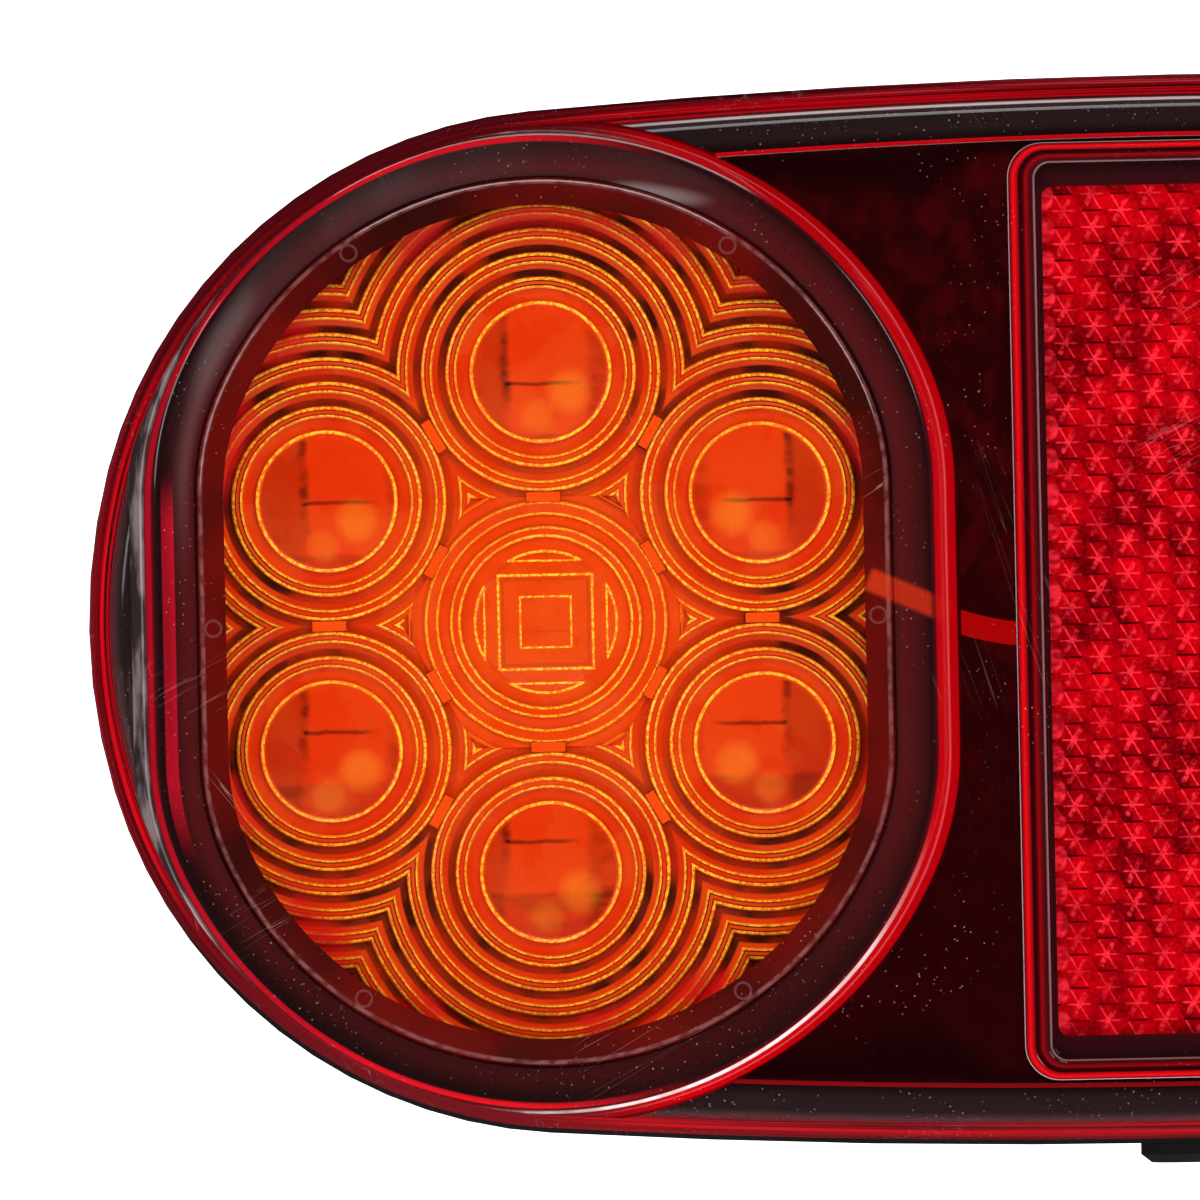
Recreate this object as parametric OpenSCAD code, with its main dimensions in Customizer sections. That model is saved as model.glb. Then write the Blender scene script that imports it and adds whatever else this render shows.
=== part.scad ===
// Sealed LED combination tail light for a trailer, in millimetres.
// The back of the lamp lies in the plane y = 0 and the light shines towards -Y. +Z is up and +X is the lamp's
// right as seen from in front, so the turn module is at -X and the stop and tail module at +X.
// Most pieces are drawn flat, with their own z as the height above the back face, and stood up by front().

/* [Lamp body] */
// Overall length of the lens
lamp_l = 207.3; // [206:0.1:210]
// Overall height of the lens
lamp_h = 100.8; // [100:0.1:102]
// Radius of the rounded ends
corner_r = 45.4; // [45:0.1:46]
// Height of the base tray
base_h = 12; // [12:0.5:13]
// Height of the lens's flat face above the back
face_h = 30; // [30:0.1:30.6]
// Thickness of the moulded walls
wall = 2.4; // [2.2:0.1:2.5]
// How far the base stands out past the lens
ledge = 0.5; // [0.3:0.1:0.6]

/* [Lamp modules] */
// Distance of each module's centre from the middle of the lamp
module_x = 60.6; // [60.4:0.1:60.8]
// Half the height of each module's window
module_top = 42; // [41.8:0.1:42.2]
// Radius of the window's round top and bottom
module_r = 33.7; // [33.5:0.1:33.9]
// Half the width between the module's straight sides
module_side = 32.8; // [32.6:0.1:33]
// Height of the collar's land above the back
collar_h = 33; // [32.8:0.1:33.4]
// Distance between neighbouring optics
optic_pitch = 23.65; // [23.5:0.05:23.8]
// Radius of the smooth disc in each optic
optic_disc_r = 6.6; // [6:0.1:7]
// Spacing of the optic's rings
ring_pitch = 2.31; // [2.2:0.01:2.35]

/* [Reflector] */
// Half the width of the reflector's opening
refl_x = 13.4; // [13.2:0.1:13.6]
// Half the height of the reflector's opening
refl_z = 42.3; // [42:0.1:42.5]
// Width of the raised frame around the reflector
frame_w = 2.6; // [2.4:0.1:2.8]

/* [Fixings] */
// Distance between the two mounting studs
stud_pitch = 152; // [148:1:154]
// Stud thread diameter
stud_d = 6; // [6:1:6]
// Length of stud behind the back face
stud_out = 22; // [18:1:30]
// Diameter of the hole for the cable
cable_d = 6; // [5.5:0.1:6.2]
// Outside diameter of the inner leads
lead_d = 2.4; // [2:0.1:2.6]

/* [Hidden] */
$fn = 48;

// The outline is three tangent arcs in each quarter: a side arc, a corner arc and a nearly flat top arc.
hl = lamp_l / 2;
hh = lamp_h / 2;
corner_x = hl - 45.8;
corner_z = 2.9;
side_x = (pow(hl - corner_r, 2) - corner_x * corner_x - corner_z * corner_z) / (2 * (hl - corner_r - corner_x));
side_r = hl - side_x;
top_z = (pow(hh - corner_r, 2) - corner_x * corner_x - corner_z * corner_z) / (2 * (hh - corner_r - corner_z));
top_r = hh - top_z;
ang_side = atan2(corner_z, corner_x - side_x);
ang_top = atan2(corner_z - top_z, corner_x);
quarter = concat([for (i = [0:2]) ang_side * i / 3],
                 [for (i = [0:13]) ang_side + (ang_top - ang_side) * i / 14],
                 [for (i = [0:3]) ang_top + (90 - ang_top) * i / 4]);

// Mirrors a quarter's list of points round to a whole anticlockwise outline. The quarter runs from the side, at
// angle 0, up to but not including the top, and q90 is the point at the top.
function around(q, q90) = concat(q, [q90],
    [for (i = [len(q) - 1:-1:0]) [-q[i][0], q[i][1]]],
    [for (i = [1:len(q) - 1]) [-q[i][0], -q[i][1]]], [[-q90[0], -q90[1]]],
    [for (i = [len(q) - 1:-1:1]) [q[i][0], -q[i][1]]]);

// Point of the lamp's outline whose normal is at angle a, moved inwards by d.
function lamp_pt(a, d) =
    a < ang_side ? [side_x + (side_r - d) * cos(a), (side_r - d) * sin(a)]
    : a <= ang_top ? [corner_x + (corner_r - d) * cos(a), corner_z + (corner_r - d) * sin(a)]
    : [(top_r - d) * cos(a), top_z + (top_r - d) * sin(a)];
function lamp_outline(d) = around([for (a = quarter) lamp_pt(a, d)], [0, hh - d]);

// The module's window: round ends and straight sides joined by corner arcs, moved inwards by d.
crown_z = module_top - module_r;
fillet_r = 24;
fillet_x = module_side - fillet_r;
fillet_z = crown_z + sqrt(pow(module_r - fillet_r, 2) - fillet_x * fillet_x);
ang_fillet = atan2(fillet_z - crown_z, fillet_x);
module_quarter = concat([0], [for (i = [0:3]) ang_fillet * i / 4 + 0.001], [for (i = [0:8]) ang_fillet + (90 - ang_fillet) * i / 9]);
function module_pt(a, d) =
    a == 0 ? [module_side - d, 0]
    : a < ang_fillet ? [fillet_x + (fillet_r - d) * cos(a), fillet_z + (fillet_r - d) * sin(a)]
    : [(module_r - d) * cos(a), crown_z + (module_r - d) * sin(a)];
function module_outline(d) = around([for (a = module_quarter) module_pt(a, d)], [0, module_top - d]);

// The lens's wall: [distance in from the outline, height]. A drafted side, then a rounded shoulder.
shoulder = [[0, base_h], [2.6, 24], [2.9, 26], [3.5, 27.8], [4.4, 29.1], [5.2, face_h - 0.3], [5.9, face_h]];
cavity = [[wall, base_h], [wall + 2.5, 23.6], [wall + 3.2, 26], [wall + 4.2, face_h - wall]];

module front() { rotate([90, 0, 0]) children(); }
module both_ends() { children(); mirror([1, 0, 0]) children(); }

// Solid with the given outlines as its cross-sections, one above the other.
module loft(rings, heights) {
    n = len(rings[0]);
    m = len(rings);
    polyhedron(
        points = [for (j = [0:m - 1]) for (p = rings[j]) [p[0], p[1], heights[j]]],
        faces = concat([[for (i = [0:n - 1]) i]], [[for (i = [0:n - 1]) (m - 1) * n + (n - i) % n]],
            [for (j = [0:m - 2]) for (i = [0:n - 1]) [j * n + i, (j + 1) * n + i, (j + 1) * n + (i + 1) % n]],
            [for (j = [0:m - 2]) for (i = [0:n - 1]) [j * n + i, (j + 1) * n + (i + 1) % n, j * n + (i + 1) % n]]));
}
module slab(pts, z0, z1) { translate([0, 0, z0]) linear_extrude(z1 - z0) polygon(pts); }
module band(outer, inner, z0, z1) {
    translate([0, 0, z0]) linear_extrude(z1 - z0) difference() { polygon(outer); polygon(inner); }
}
// Block with round corners, given its half width and half height.
module rounded(x, z, r, z0, z1) {
    translate([0, 0, z0]) linear_extrude(z1 - z0) union() {
        square([2 * x, 2 * (z - r)], center = true);
        square([2 * (x - r), 2 * z], center = true);
        for (sx = [-1, 1], sz = [-1, 1]) translate([sx * (x - r), sz * (z - r)]) circle(r, $fn = 24);
    }
}

// Centres of the seven optics: one in the middle and six round it, with points up and down.
optic_at = concat([[0, 0]], [for (i = [0:5]) [optic_pitch * sin(60 * i), optic_pitch * cos(60 * i)]]);
board_screw_at = [[-20, -26.5], [20, -26.5], [-20, 26.5], [20, 26.5]];
// Depth of the cable grommet's axis in front of the back
grommet_y = 6.7;
board_z = base_h;
board_t = 1.6;
optic_z = 27.6;

// ---- body -------------------------------------------------------------------------------------------------

module base_housing() {
    color([0.03, 0.03, 0.035]) difference() {
        front() difference() {
            union() {
                difference() {
                    slab(lamp_outline(-ledge), 0, base_h);
                    slab(lamp_outline(wall), 3, base_h + 1);
                }
                for (s = [-1, 1]) {
                    translate([s * stud_pitch / 2, 0, 2]) cylinder(r = 9, h = 6.6, $fn = 48);
                    for (p = board_screw_at) translate([s * module_x + p[0], p[1], 2]) cylinder(r = 3.2, h = board_z - 2);
                    // stiffening ribs on the floor
                    for (x = [-1, 1]) translate([s * module_x + x * 9 - 0.7, -38, 2]) cube([1.4, 76, 3.5]);
                }
                for (z = [-36, 36]) translate([-90 + 30, z - 0.7, 2]) cube([120, 1.4, 3.5]);
                // boss that holds the cable grommet
                translate([-7, -hh + 1.5, 2]) cube([14, 6.5, 9.9]);
            }
            // hexagon pockets hold the stud heads, so a nut can be tightened from behind
            for (s = [-1, 1]) {
                translate([s * stud_pitch / 2, 0, 4]) cylinder(r = 5.9, h = 20, $fn = 6);
                translate([s * stud_pitch / 2, 0, -1]) cylinder(r = stud_d / 2 + 0.3, h = 20);
                for (p = board_screw_at) translate([s * module_x + p[0], p[1], 4]) cylinder(r = 1.15, h = 20);
            }
            // groove for the foam ring, and groove for the bonding bead
            band(lamp_outline(4), lamp_outline(10), -1, 1.2);
            band(lamp_outline(0.7), lamp_outline(1.7), base_h - 1.2, base_h + 1);
            // seat of the vent plug
            translate([24, -22, -1]) cylinder(r = 3, h = 10);
        }
        // hole for the cable grommet
        translate([0, -grommet_y, -hh - 4]) cylinder(r = 4.1, h = 16);
        // relief for the grommet's inner flange
        translate([0, -grommet_y, -hh + 4.9]) cylinder(r = 4.95, h = 4);
    }
}

module foam_gasket() {
    color([0.12, 0.12, 0.12]) front() band(lamp_outline(4.1), lamp_outline(9.9), 0, 1.2);
}

module sealant_bead() {
    color([0.75, 0.75, 0.72]) front() band(lamp_outline(0.75), lamp_outline(1.65), base_h - 1.2, base_h);
}

// Raised collar round a module: a sloping wall up to a flat land, kept inside the lens's own drafted side.
module collar(s) {
    steps = [[6.6, 27.4], [6.2, face_h - 0.1], [4.6, 31.2], [3.9, 32.4], [3.4, collar_h]];
    intersection() {
        translate([s * module_x, 0, 0]) loft([for (k = steps) module_outline(-k[0])], [for (k = steps) k[1]]);
        slab(lamp_outline(2.55), 20, 40);
    }
}

module outer_lens() {
    color([0.62, 0.02, 0.03, 0.75]) front() difference() {
        union() {
            loft([for (k = shoulder) lamp_outline(k[0])], [for (k = shoulder) k[1]]);
            collar(-1);
            collar(1);
            // frame round the reflector: two beads with a groove between
            rounded(refl_x + frame_w, refl_z + frame_w - 0.5, 3, face_h - 1, face_h + 1.1);
        }
        loft([for (k = cavity) lamp_outline(k[0])], [base_h - 1, cavity[1][1], cavity[2][1], cavity[3][1]]);
        for (s = [-1, 1]) translate([s * module_x, 0, 0]) slab(module_outline(0), base_h, collar_h + 5);
        rounded(refl_x, refl_z, 1.2, base_h, face_h + 5);
        difference() {
            rounded(refl_x + frame_w - 1.3, refl_z + frame_w - 1.8, 1.8, face_h + 0.5, face_h + 5);
            rounded(refl_x + 0.5, refl_z + 0.5, 1.4, face_h - 1, face_h + 6);
        }
    }
}

// ---- modules ----------------------------------------------------------------------------------------------

// Coloured cap: a front plate with ejector marks round its edge, a skirt down through the lens's opening and a
// flange behind the lens.
module module_cap() {
    difference() {
        union() {
            slab(module_outline(0.15), 26, collar_h + 0.2);
            slab(module_outline(0.7), collar_h, collar_h + 0.6);
            intersection() {
                slab(module_outline(-1.6), 26, face_h - wall - 0.15);
                translate([module_x, 0, 0]) slab(lamp_outline(wall + 4.5), 20, face_h);
            }
        }
        slab(module_outline(1.9), 20, collar_h - 1.6);
        for (p = [[31.4, 0], [-31.4, 0], [17.9, 35.2], [-17.9, 35.2], [17.9, -35.2], [-17.9, -35.2]])
            translate([p[0], p[1], collar_h + 0.45]) cylinder(r = 0.8, h = 2);
    }
}

// One optic's rings: pairs of flat lands, joined to the plate. The outer rings are only drawn on the side that
// faces the edge of the window.
module optic_rings(i) {
    cylinder(r = optic_disc_r, h = 2.2);
    for (k = [0:1]) difference() {
        cylinder(r = optic_disc_r + 1.4 + k * ring_pitch + 0.9, h = 2.6 - 0.2 * k);
        translate([0, 0, -1]) cylinder(r = optic_disc_r + 1.4 + k * ring_pitch, h = 6);
    }
    if (i > 0) intersection() {
        for (k = [2:3]) difference() {
            cylinder(r = optic_disc_r + 1.4 + k * ring_pitch + 0.9, h = 2.2);
            translate([0, 0, -1]) cylinder(r = optic_disc_r + 1.4 + k * ring_pitch, h = 6);
        }
        rotate([0, 0, -60 * (i - 1)]) linear_extrude(6) polygon([[0, 0], [-14, 24], [14, 24]]);
    }
}

module module_optic() {
    intersection() {
        union() {
            slab(module_outline(2.3), optic_z, optic_z + 1.2);
            for (i = [0:6]) translate([optic_at[i][0], optic_at[i][1], optic_z + 1]) optic_rings(i);
        }
        slab(module_outline(2.3), optic_z - 1, collar_h - 1.7);
    }
}

// Dark shroud between board and optic, with a window in its inner side for the leads.
module module_bezel() {
    difference() {
        band(module_outline(2.1), module_outline(3.6), board_z + board_t, optic_z - 0.1);
        translate([26, -14, board_z + board_t + 1]) cube([10, 21, 9.4]);
    }
}

module module_board() {
    difference() {
        slab(module_outline(1.2), board_z, board_z + board_t);
        for (p = board_screw_at) translate([p[0], p[1], 0]) cylinder(r = 1.3, h = 30);
    }
}

// Square-bodied LED with a round lens and a notched corner.
module led() {
    difference() {
        translate([-3.8, -3.8, 0]) cube([7.6, 7.6, 2.6]);
        translate([3.8, 3.8, -1]) rotate([0, 0, 45]) cube([1.6, 4, 6], center = true);
    }
    cylinder(r = 2.6, h = 4);
    translate([0, 0, 3.2]) sphere(r = 2.4, $fn = 32);
}
module module_leds() { for (p = optic_at) translate([p[0], p[1], board_z + board_t]) led(); }

// Axial resistor lying flat, with its two leads bent down to the board.
module axial(body_r, body_l) {
    translate([0, 0, body_r + 0.2]) rotate([0, 90, 0]) {
        translate([0, 0, -body_l / 2]) cylinder(r = body_r, h = body_l, $fn = 24);
        translate([0, 0, -body_l / 2 - 1.8]) cylinder(r = 0.35, h = body_l + 3.6, $fn = 16);
    }
    for (s = [-1, 1]) translate([s * (body_l / 2 + 1.8), 0, 0]) cylinder(r = 0.35, h = body_r + 0.2, $fn = 16);
}
module module_resistors() {
    for (p = [[-10, 33, 0], [10, 33, 0], [-10, -33, 0]]) translate([p[0], p[1], board_z + board_t]) axial(1.1, 5.6);
    for (x = [-10.2, 10.2]) translate([x, 0, board_z + board_t]) rotate([0, 0, 90]) axial(1, 5.2);
}

// Pan-head screw with a cross recess.
module pan_screw(r, l) {
    translate([0, 0, -l]) cylinder(r = r, h = l + 0.1);
    difference() {
        cylinder(r = 2.1 * r, h = 1.6);
        for (a = [0, 90]) rotate([0, 0, a]) translate([-1.3, -0.3, 0.8]) cube([2.6, 0.6, 2]);
    }
}
module module_screws() { for (p = board_screw_at) translate([p[0], p[1], board_z + board_t]) pan_screw(1.1, 7); }

module at_module(s) { translate([s * module_x, 0, 0]) scale_x(-s) children(); }
module scale_x(s) { if (s > 0) children(); else mirror([1, 0, 0]) children(); }

module turn_lens() { color([1, 0.42, 0.02, 0.85]) front() at_module(-1) module_cap(); }
module stop_lens() { color([0.85, 0.03, 0.04, 0.85]) front() at_module(1) module_cap(); }
module turn_optic() { color([1, 0.35, 0.02, 0.9]) front() at_module(-1) module_optic(); }
module stop_optic() { color([0.8, 0.02, 0.03, 0.9]) front() at_module(1) module_optic(); }
module turn_bezel() { color([0.08, 0.05, 0.05]) front() at_module(-1) module_bezel(); }
module stop_bezel() { color([0.08, 0.05, 0.05]) front() at_module(1) module_bezel(); }
module turn_led_board() { color([0.1, 0.3, 0.16]) front() at_module(-1) module_board(); }
module stop_led_board() { color([0.1, 0.3, 0.16]) front() at_module(1) module_board(); }
module turn_leds() { color([0.9, 0.8, 0.45]) front() at_module(-1) module_leds(); }
module stop_leds() { color([0.85, 0.85, 0.85]) front() at_module(1) module_leds(); }
module turn_resistors() { color([0.7, 0.62, 0.45]) front() at_module(-1) module_resistors(); }
module stop_resistors() { color([0.7, 0.62, 0.45]) front() at_module(1) module_resistors(); }
module turn_board_screws() { color([0.7, 0.7, 0.72]) front() at_module(-1) module_screws(); }
module stop_board_screws() { color([0.7, 0.7, 0.72]) front() at_module(1) module_screws(); }

module polarity_diodes() {
    color([0.1, 0.1, 0.1]) front() for (s = [-1, 1])
        at_module(s) translate([10, -33, board_z + board_t]) axial(1.35, 5.2);
}

// ---- reflector --------------------------------------------------------------------------------------------

// Plate with a flange behind the lens. Six-sided pits in its back stand for the corner-cube cells.
cell = 3.13;
module reflex_reflector() {
    color([0.75, 0.02, 0.04]) front() {
        rounded(refl_x - 0.1, refl_z - 0.1, 1.1, 26.6, 29);
        difference() {
            rounded(refl_x + 1.6, refl_z + 1.4, 1.4, 25.9, face_h - wall - 0.15);
            rounded(refl_x - 0.9, refl_z - 2.2, 0.4, 20, 26.6);
        }
        translate([0, 0, 26]) linear_extrude(0.7) difference() {
            square([2 * refl_x - 2, 2 * refl_z - 4.6], center = true);
            for (i = [-4:4], j = [-13:12]) translate([i * cell * cos(30), (j + (i % 2 == 0 ? 0.5 : 0)) * cell])
                if (abs((j + (i % 2 == 0 ? 0.5 : 0)) * cell) < refl_z - 3.5) rotate(0) circle(r = 1.55, $fn = 6);
        }
    }
}

module reflector_backing() {
    color([0.85, 0.85, 0.85]) front() rounded(refl_x + 1.6, refl_z + 1.4, 1.4, 25, 25.9);
}

// ---- wiring -----------------------------------------------------------------------------------------------

block_at = [0, 6];
module terminal_block() {
    color([0.9, 0.88, 0.8]) front() difference() {
        translate([block_at[0] - 8, block_at[1] - 15, 3]) cube([16, 30, 9]);
        for (k = [0:2]) {
            z = block_at[1] - 10 + 10 * k;
            translate([block_at[0], z, 5]) cylinder(r = 2.3, h = 20);
            translate([block_at[0] - 20, z, 6.5]) rotate([0, 90, 0]) cylinder(r = lead_d / 2 + 0.15, h = 40);
        }
    }
}
module terminal_clamps() {
    color([0.8, 0.66, 0.35]) front() for (k = [0:2])
        translate([block_at[0], block_at[1] - 10 + 10 * k, 5]) difference() {
            cylinder(r = 2.2, h = 4.6);
            translate([0, 0, 3]) cylinder(r = 1.3, h = 4);
            translate([-5, 0, 1.5]) rotate([0, 90, 0]) cylinder(r = lead_d / 2 + 0.05, h = 10);
        }
}
module terminal_screws() {
    color([0.75, 0.75, 0.76]) front() for (k = [0:2])
        translate([block_at[0], block_at[1] - 10 + 10 * k, 8]) difference() {
            union() { cylinder(r = 1.25, h = 1.8); translate([0, 0, 1.6]) cylinder(r = 2, h = 1.6); }
            translate([-3, -0.3, 2.4]) cube([6, 0.6, 2]);
        }
}

// Tube swept along a route. Each ring lies across the route at its point.
function unit(v) = v / norm(v);
function smooth(p, n) = [for (i = [0:len(p) - 2]) for (k = [0:n - 1]) let (t = k / n,
        a = p[max(i - 1, 0)], b = p[i], c = p[i + 1], d = p[min(i + 2, len(p) - 1)])
    0.5 * (2 * b + t * (c - a) + t * t * (2 * a - 5 * b + 4 * c - d) + t * t * t * (3 * b - a - 3 * c + d))];
function route(p, n) = concat(smooth(p, n), [p[len(p) - 1]]);
module tube(p, r, sides = 8) {
    m = len(p);
    function dir(j) = unit(p[min(j + 1, m - 1)] - p[max(j - 1, 0)]);
    rings = [for (j = [0:m - 1]) let (t = dir(j), u = unit(cross(t, [0.12, 0.9, 0.42])), v = cross(t, u))
        for (i = [0:sides - 1]) p[j] + r * (u * cos(i * 360 / sides) + v * sin(i * 360 / sides))];
    polyhedron(points = rings, faces = concat([[for (i = [0:sides - 1]) i]], [[for (i = [sides - 1:-1:0]) (m - 1) * sides + i]],
        [for (j = [0:m - 2]) for (i = [0:sides - 1]) [j * sides + i, (j + 1) * sides + i, (j + 1) * sides + (i + 1) % sides]],
        [for (j = [0:m - 2]) for (i = [0:sides - 1]) [j * sides + i, (j + 1) * sides + (i + 1) % sides, j * sides + (i + 1) % sides]]));
}

// Routes of the leads, as [across, up, height above the back]: from the board through the shroud's window and
// under the reflector to the terminal block.
turn_feed = [[-33.6, 5.4, 13.8], [-33.4, 5, 16.5], [-31.2, 3.9, 19.6], [-27, 2, 21.4], [-22, -0.6, 21.9],
    [-17, -1.9, 21.6], [-13, -2.3, 19], [-11, -2.8, 14], [-10.4, -3.6, 9], [-9.6, -4, 6.7], [-8.2, -4, 6.5]];
turn_earth = [[-33.6, -8, 13.8], [-33.4, -8, 15.6], [-31, -7.2, 16.8], [-26, -2, 16], [-19, 8, 13],
    [-14, 13, 9], [-11, 15.6, 6.8], [-8.2, 16, 6.5]];
stop_feed = [[33.6, 5.4, 13.8], [33.4, 5.2, 16], [31, 5, 17.4], [26, 5.2, 16.4], [19, 5.8, 12],
    [13, 6, 8], [10.4, 6, 6.6], [8.2, 6, 6.5]];
tail_feed = [[33.6, -3, 13.8], [33.4, -3, 15.6], [31, -3.1, 17], [25, -3.5, 16], [18, -3.9, 11.6],
    [13, -4, 8], [10.4, -4, 6.6], [8.2, -4, 6.5]];
stop_earth = [[33.6, -10.4, 13.8], [33.4, -10.4, 15.6], [31, -10, 17], [26, -6, 18.6], [20, 4, 18],
    [15, 12, 13], [12, 15.4, 8.4], [10.4, 16, 6.7], [8.2, 16, 6.5]];
module lead(p) { front() tube(route(p, 3), lead_d / 2); }

module turn_feed_wire() { color([0.75, 0.03, 0.03]) lead(turn_feed); }
module turn_earth_wire() { color([0.9, 0.9, 0.88]) lead(turn_earth); }
module stop_feed_wire() { color([0.15, 0.4, 0.15]) lead(stop_feed); }
module tail_feed_wire() { color([0.35, 0.2, 0.1]) lead(tail_feed); }
module stop_earth_wire() { color([0.9, 0.9, 0.88]) lead(stop_earth); }

// ---- fixings ----------------------------------------------------------------------------------------------

// Stud with a hexagon head in its pocket, a smooth neck through the base and a chamfered tip.
module stud() {
    translate([0, 0, 4.1]) cylinder(r = 5.7, h = 4, $fn = 6);
    translate([0, 0, -0.4]) cylinder(r = stud_d / 2 + 0.2, h = 5);
    translate([0, 0, -stud_out + 0.8]) cylinder(r = stud_d / 2, h = stud_out);
    translate([0, 0, -stud_out]) cylinder(r1 = stud_d / 2 - 0.8, r2 = stud_d / 2, h = 0.8);
}
module stud_left() { color([0.7, 0.7, 0.72]) front() translate([-stud_pitch / 2, 0, 0]) stud(); }
module stud_right() { color([0.7, 0.7, 0.72]) front() translate([stud_pitch / 2, 0, 0]) stud(); }

// Rubber gland with a flange outside the wall and one inside it.
module cable_grommet() {
    color([0.04, 0.04, 0.04]) translate([0, -grommet_y, -hh]) rotate_extrude($fn = 64)
        polygon([[cable_d / 2, -2.4], [3.9, -2.4], [4.9, -1.6], [4.9, -ledge - 0.05], [4.05, -ledge - 0.05], [4.05, 4.95],
                 [4.8, 4.95], [4.8, 6.6], [cable_d / 2, 6.6]]);
}

module vent_plug() {
    color([0.3, 0.3, 0.32]) front() translate([24, -22, 0]) difference() {
        union() { translate([0, 0, 0.3]) cylinder(r = 2.9, h = 2.9); translate([0, 0, 3.05]) cylinder(r = 4, h = 0.9); }
        translate([0, 0, -1]) cylinder(r = 1.2, h = 10);
    }
}

base_housing();
foam_gasket();
sealant_bead();
outer_lens();
turn_lens();
turn_optic();
turn_bezel();
turn_led_board();
turn_leds();
turn_resistors();
turn_board_screws();
stop_lens();
stop_optic();
stop_bezel();
stop_led_board();
stop_leds();
stop_resistors();
stop_board_screws();
polarity_diodes();
reflex_reflector();
reflector_backing();
terminal_block();
terminal_screws();
terminal_clamps();
turn_feed_wire();
turn_earth_wire();
stop_feed_wire();
tail_feed_wire();
stop_earth_wire();
stud_left();
stud_right();
cable_grommet();
vent_plug();
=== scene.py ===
# %% [markdown]
# # An LED tail light for a trailer
# The lamp is a black tray with a one-piece red lens bonded to it. An amber turn module sits at the left
# end, a red stop and tail module at the right end, and a red reflex reflector between them. The shapes come
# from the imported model, which is loaded first and stays fixed: each piece made here lies where its CAD
# piece lies.

# %% Load the frame and keep its box
import math
import bmesh
import bpy
import numpy as np
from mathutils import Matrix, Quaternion, Vector, geometry


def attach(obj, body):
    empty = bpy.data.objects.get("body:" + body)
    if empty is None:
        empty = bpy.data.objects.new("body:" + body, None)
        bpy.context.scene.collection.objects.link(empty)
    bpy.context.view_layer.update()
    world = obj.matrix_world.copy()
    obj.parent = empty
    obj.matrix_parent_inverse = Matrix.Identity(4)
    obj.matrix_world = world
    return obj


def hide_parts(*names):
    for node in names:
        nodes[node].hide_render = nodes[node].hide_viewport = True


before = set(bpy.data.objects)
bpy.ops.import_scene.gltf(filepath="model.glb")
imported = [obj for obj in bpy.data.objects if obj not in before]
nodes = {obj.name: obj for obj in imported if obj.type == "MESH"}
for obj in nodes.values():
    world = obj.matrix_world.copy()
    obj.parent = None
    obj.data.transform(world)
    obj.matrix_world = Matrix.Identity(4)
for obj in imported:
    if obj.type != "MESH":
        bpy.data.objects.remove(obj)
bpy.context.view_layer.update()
MM = 0.001

# %% [markdown]
# ## Camera
# The lamp is looked at square on, and its left half fills the frame. A short lens close by would make the
# outline bulge, so the lens is long and the camera stands far off. The camera is rolled a little, and the
# lamp stays square to its frame.

# %% Camera
AIM = Vector((-55.43, -24.0, 1.96)) * MM
VIEW_WIDTH = 113.74 * MM
DISTANCE = 2.5
ROLL = math.radians(-1.2)
SENSOR = 36

camera_data = bpy.data.cameras.new("camera")
camera = bpy.data.objects.new("camera", camera_data)
bpy.context.scene.collection.objects.link(camera)
camera.location = AIM + Vector((0, -DISTANCE, 0))
camera.rotation_mode = "QUATERNION"
camera.rotation_quaternion = (AIM - camera.location).to_track_quat("-Z", "Y") @ Quaternion((0, 0, 1), ROLL)
camera_data.sensor_width = SENSOR
camera_data.lens = SENSOR * DISTANCE / VIEW_WIDTH
camera_data.clip_start = 0.01
bpy.context.scene.camera = camera
bpy.context.scene.view_settings.view_transform = "Standard"
print("lens", round(camera_data.lens, 1), "mm")

# %% [markdown]
# ## A way to write finishes
# A finish is a tree of shader nodes. It could be wired by hand in the editor, but then it wouldn't be in
# the script. Written out node by node it is long, so one class adds any node in one call, and a second one
# lets a number in the tree be used in ordinary sums: `1 - mask` adds a Math node.

# %% Numbers in a shader tree
class Number:
    """An output socket that holds a number. Sums on it add Math nodes."""

    def __init__(self, finish, socket):
        self.finish = finish
        self.socket = socket

    def __abs__(self):
        return self.finish.number("ShaderNodeMath", {"operation": "ABSOLUTE"}, {0: self})

    def ramp(self, low, high):
        """0 below low, 1 above high, smooth between. low may be the larger one."""
        return self.finish.number("ShaderNodeMapRange", {"interpolation_type": "SMOOTHSTEP"},
                                  {"Value": self, "From Min": low, "From Max": high}, "Result")

    def line(self, at, half):
        """1 where the number is within half of at, with soft sides."""
        return abs(self - at).ramp(half, half * 0.45)


def operator(operation, reflected=False):
    """A method that adds one Math node. reflected puts the plain value first, as in 1 - mask."""
    def method(self, other):
        pair = (other, self) if reflected else (self, other)
        return self.finish.number("ShaderNodeMath", {"operation": operation}, dict(enumerate(pair)))
    return method


OPERATORS = {"add": "ADD", "sub": "SUBTRACT", "mul": "MULTIPLY", "truediv": "DIVIDE", "mod": "FLOORED_MODULO",
             "pow": "POWER"}
for word, operation in OPERATORS.items():
    setattr(Number, f"__{word}__", operator(operation))
    setattr(Number, f"__r{word}__", operator(operation, reflected=True))
Number.least = operator("MINIMUM")
Number.most = operator("MAXIMUM")
print("sums on a number:", *OPERATORS)


# %% Colours and node trees
def tint(red, green, blue):
    """Linear colour from the usual 0 to 255 values."""
    return tuple(round((c / 255 / 12.92) if c < 11 else ((c / 255 + 0.055) / 1.055) ** 2.4, 5)
                 for c in (red, green, blue))


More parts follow.
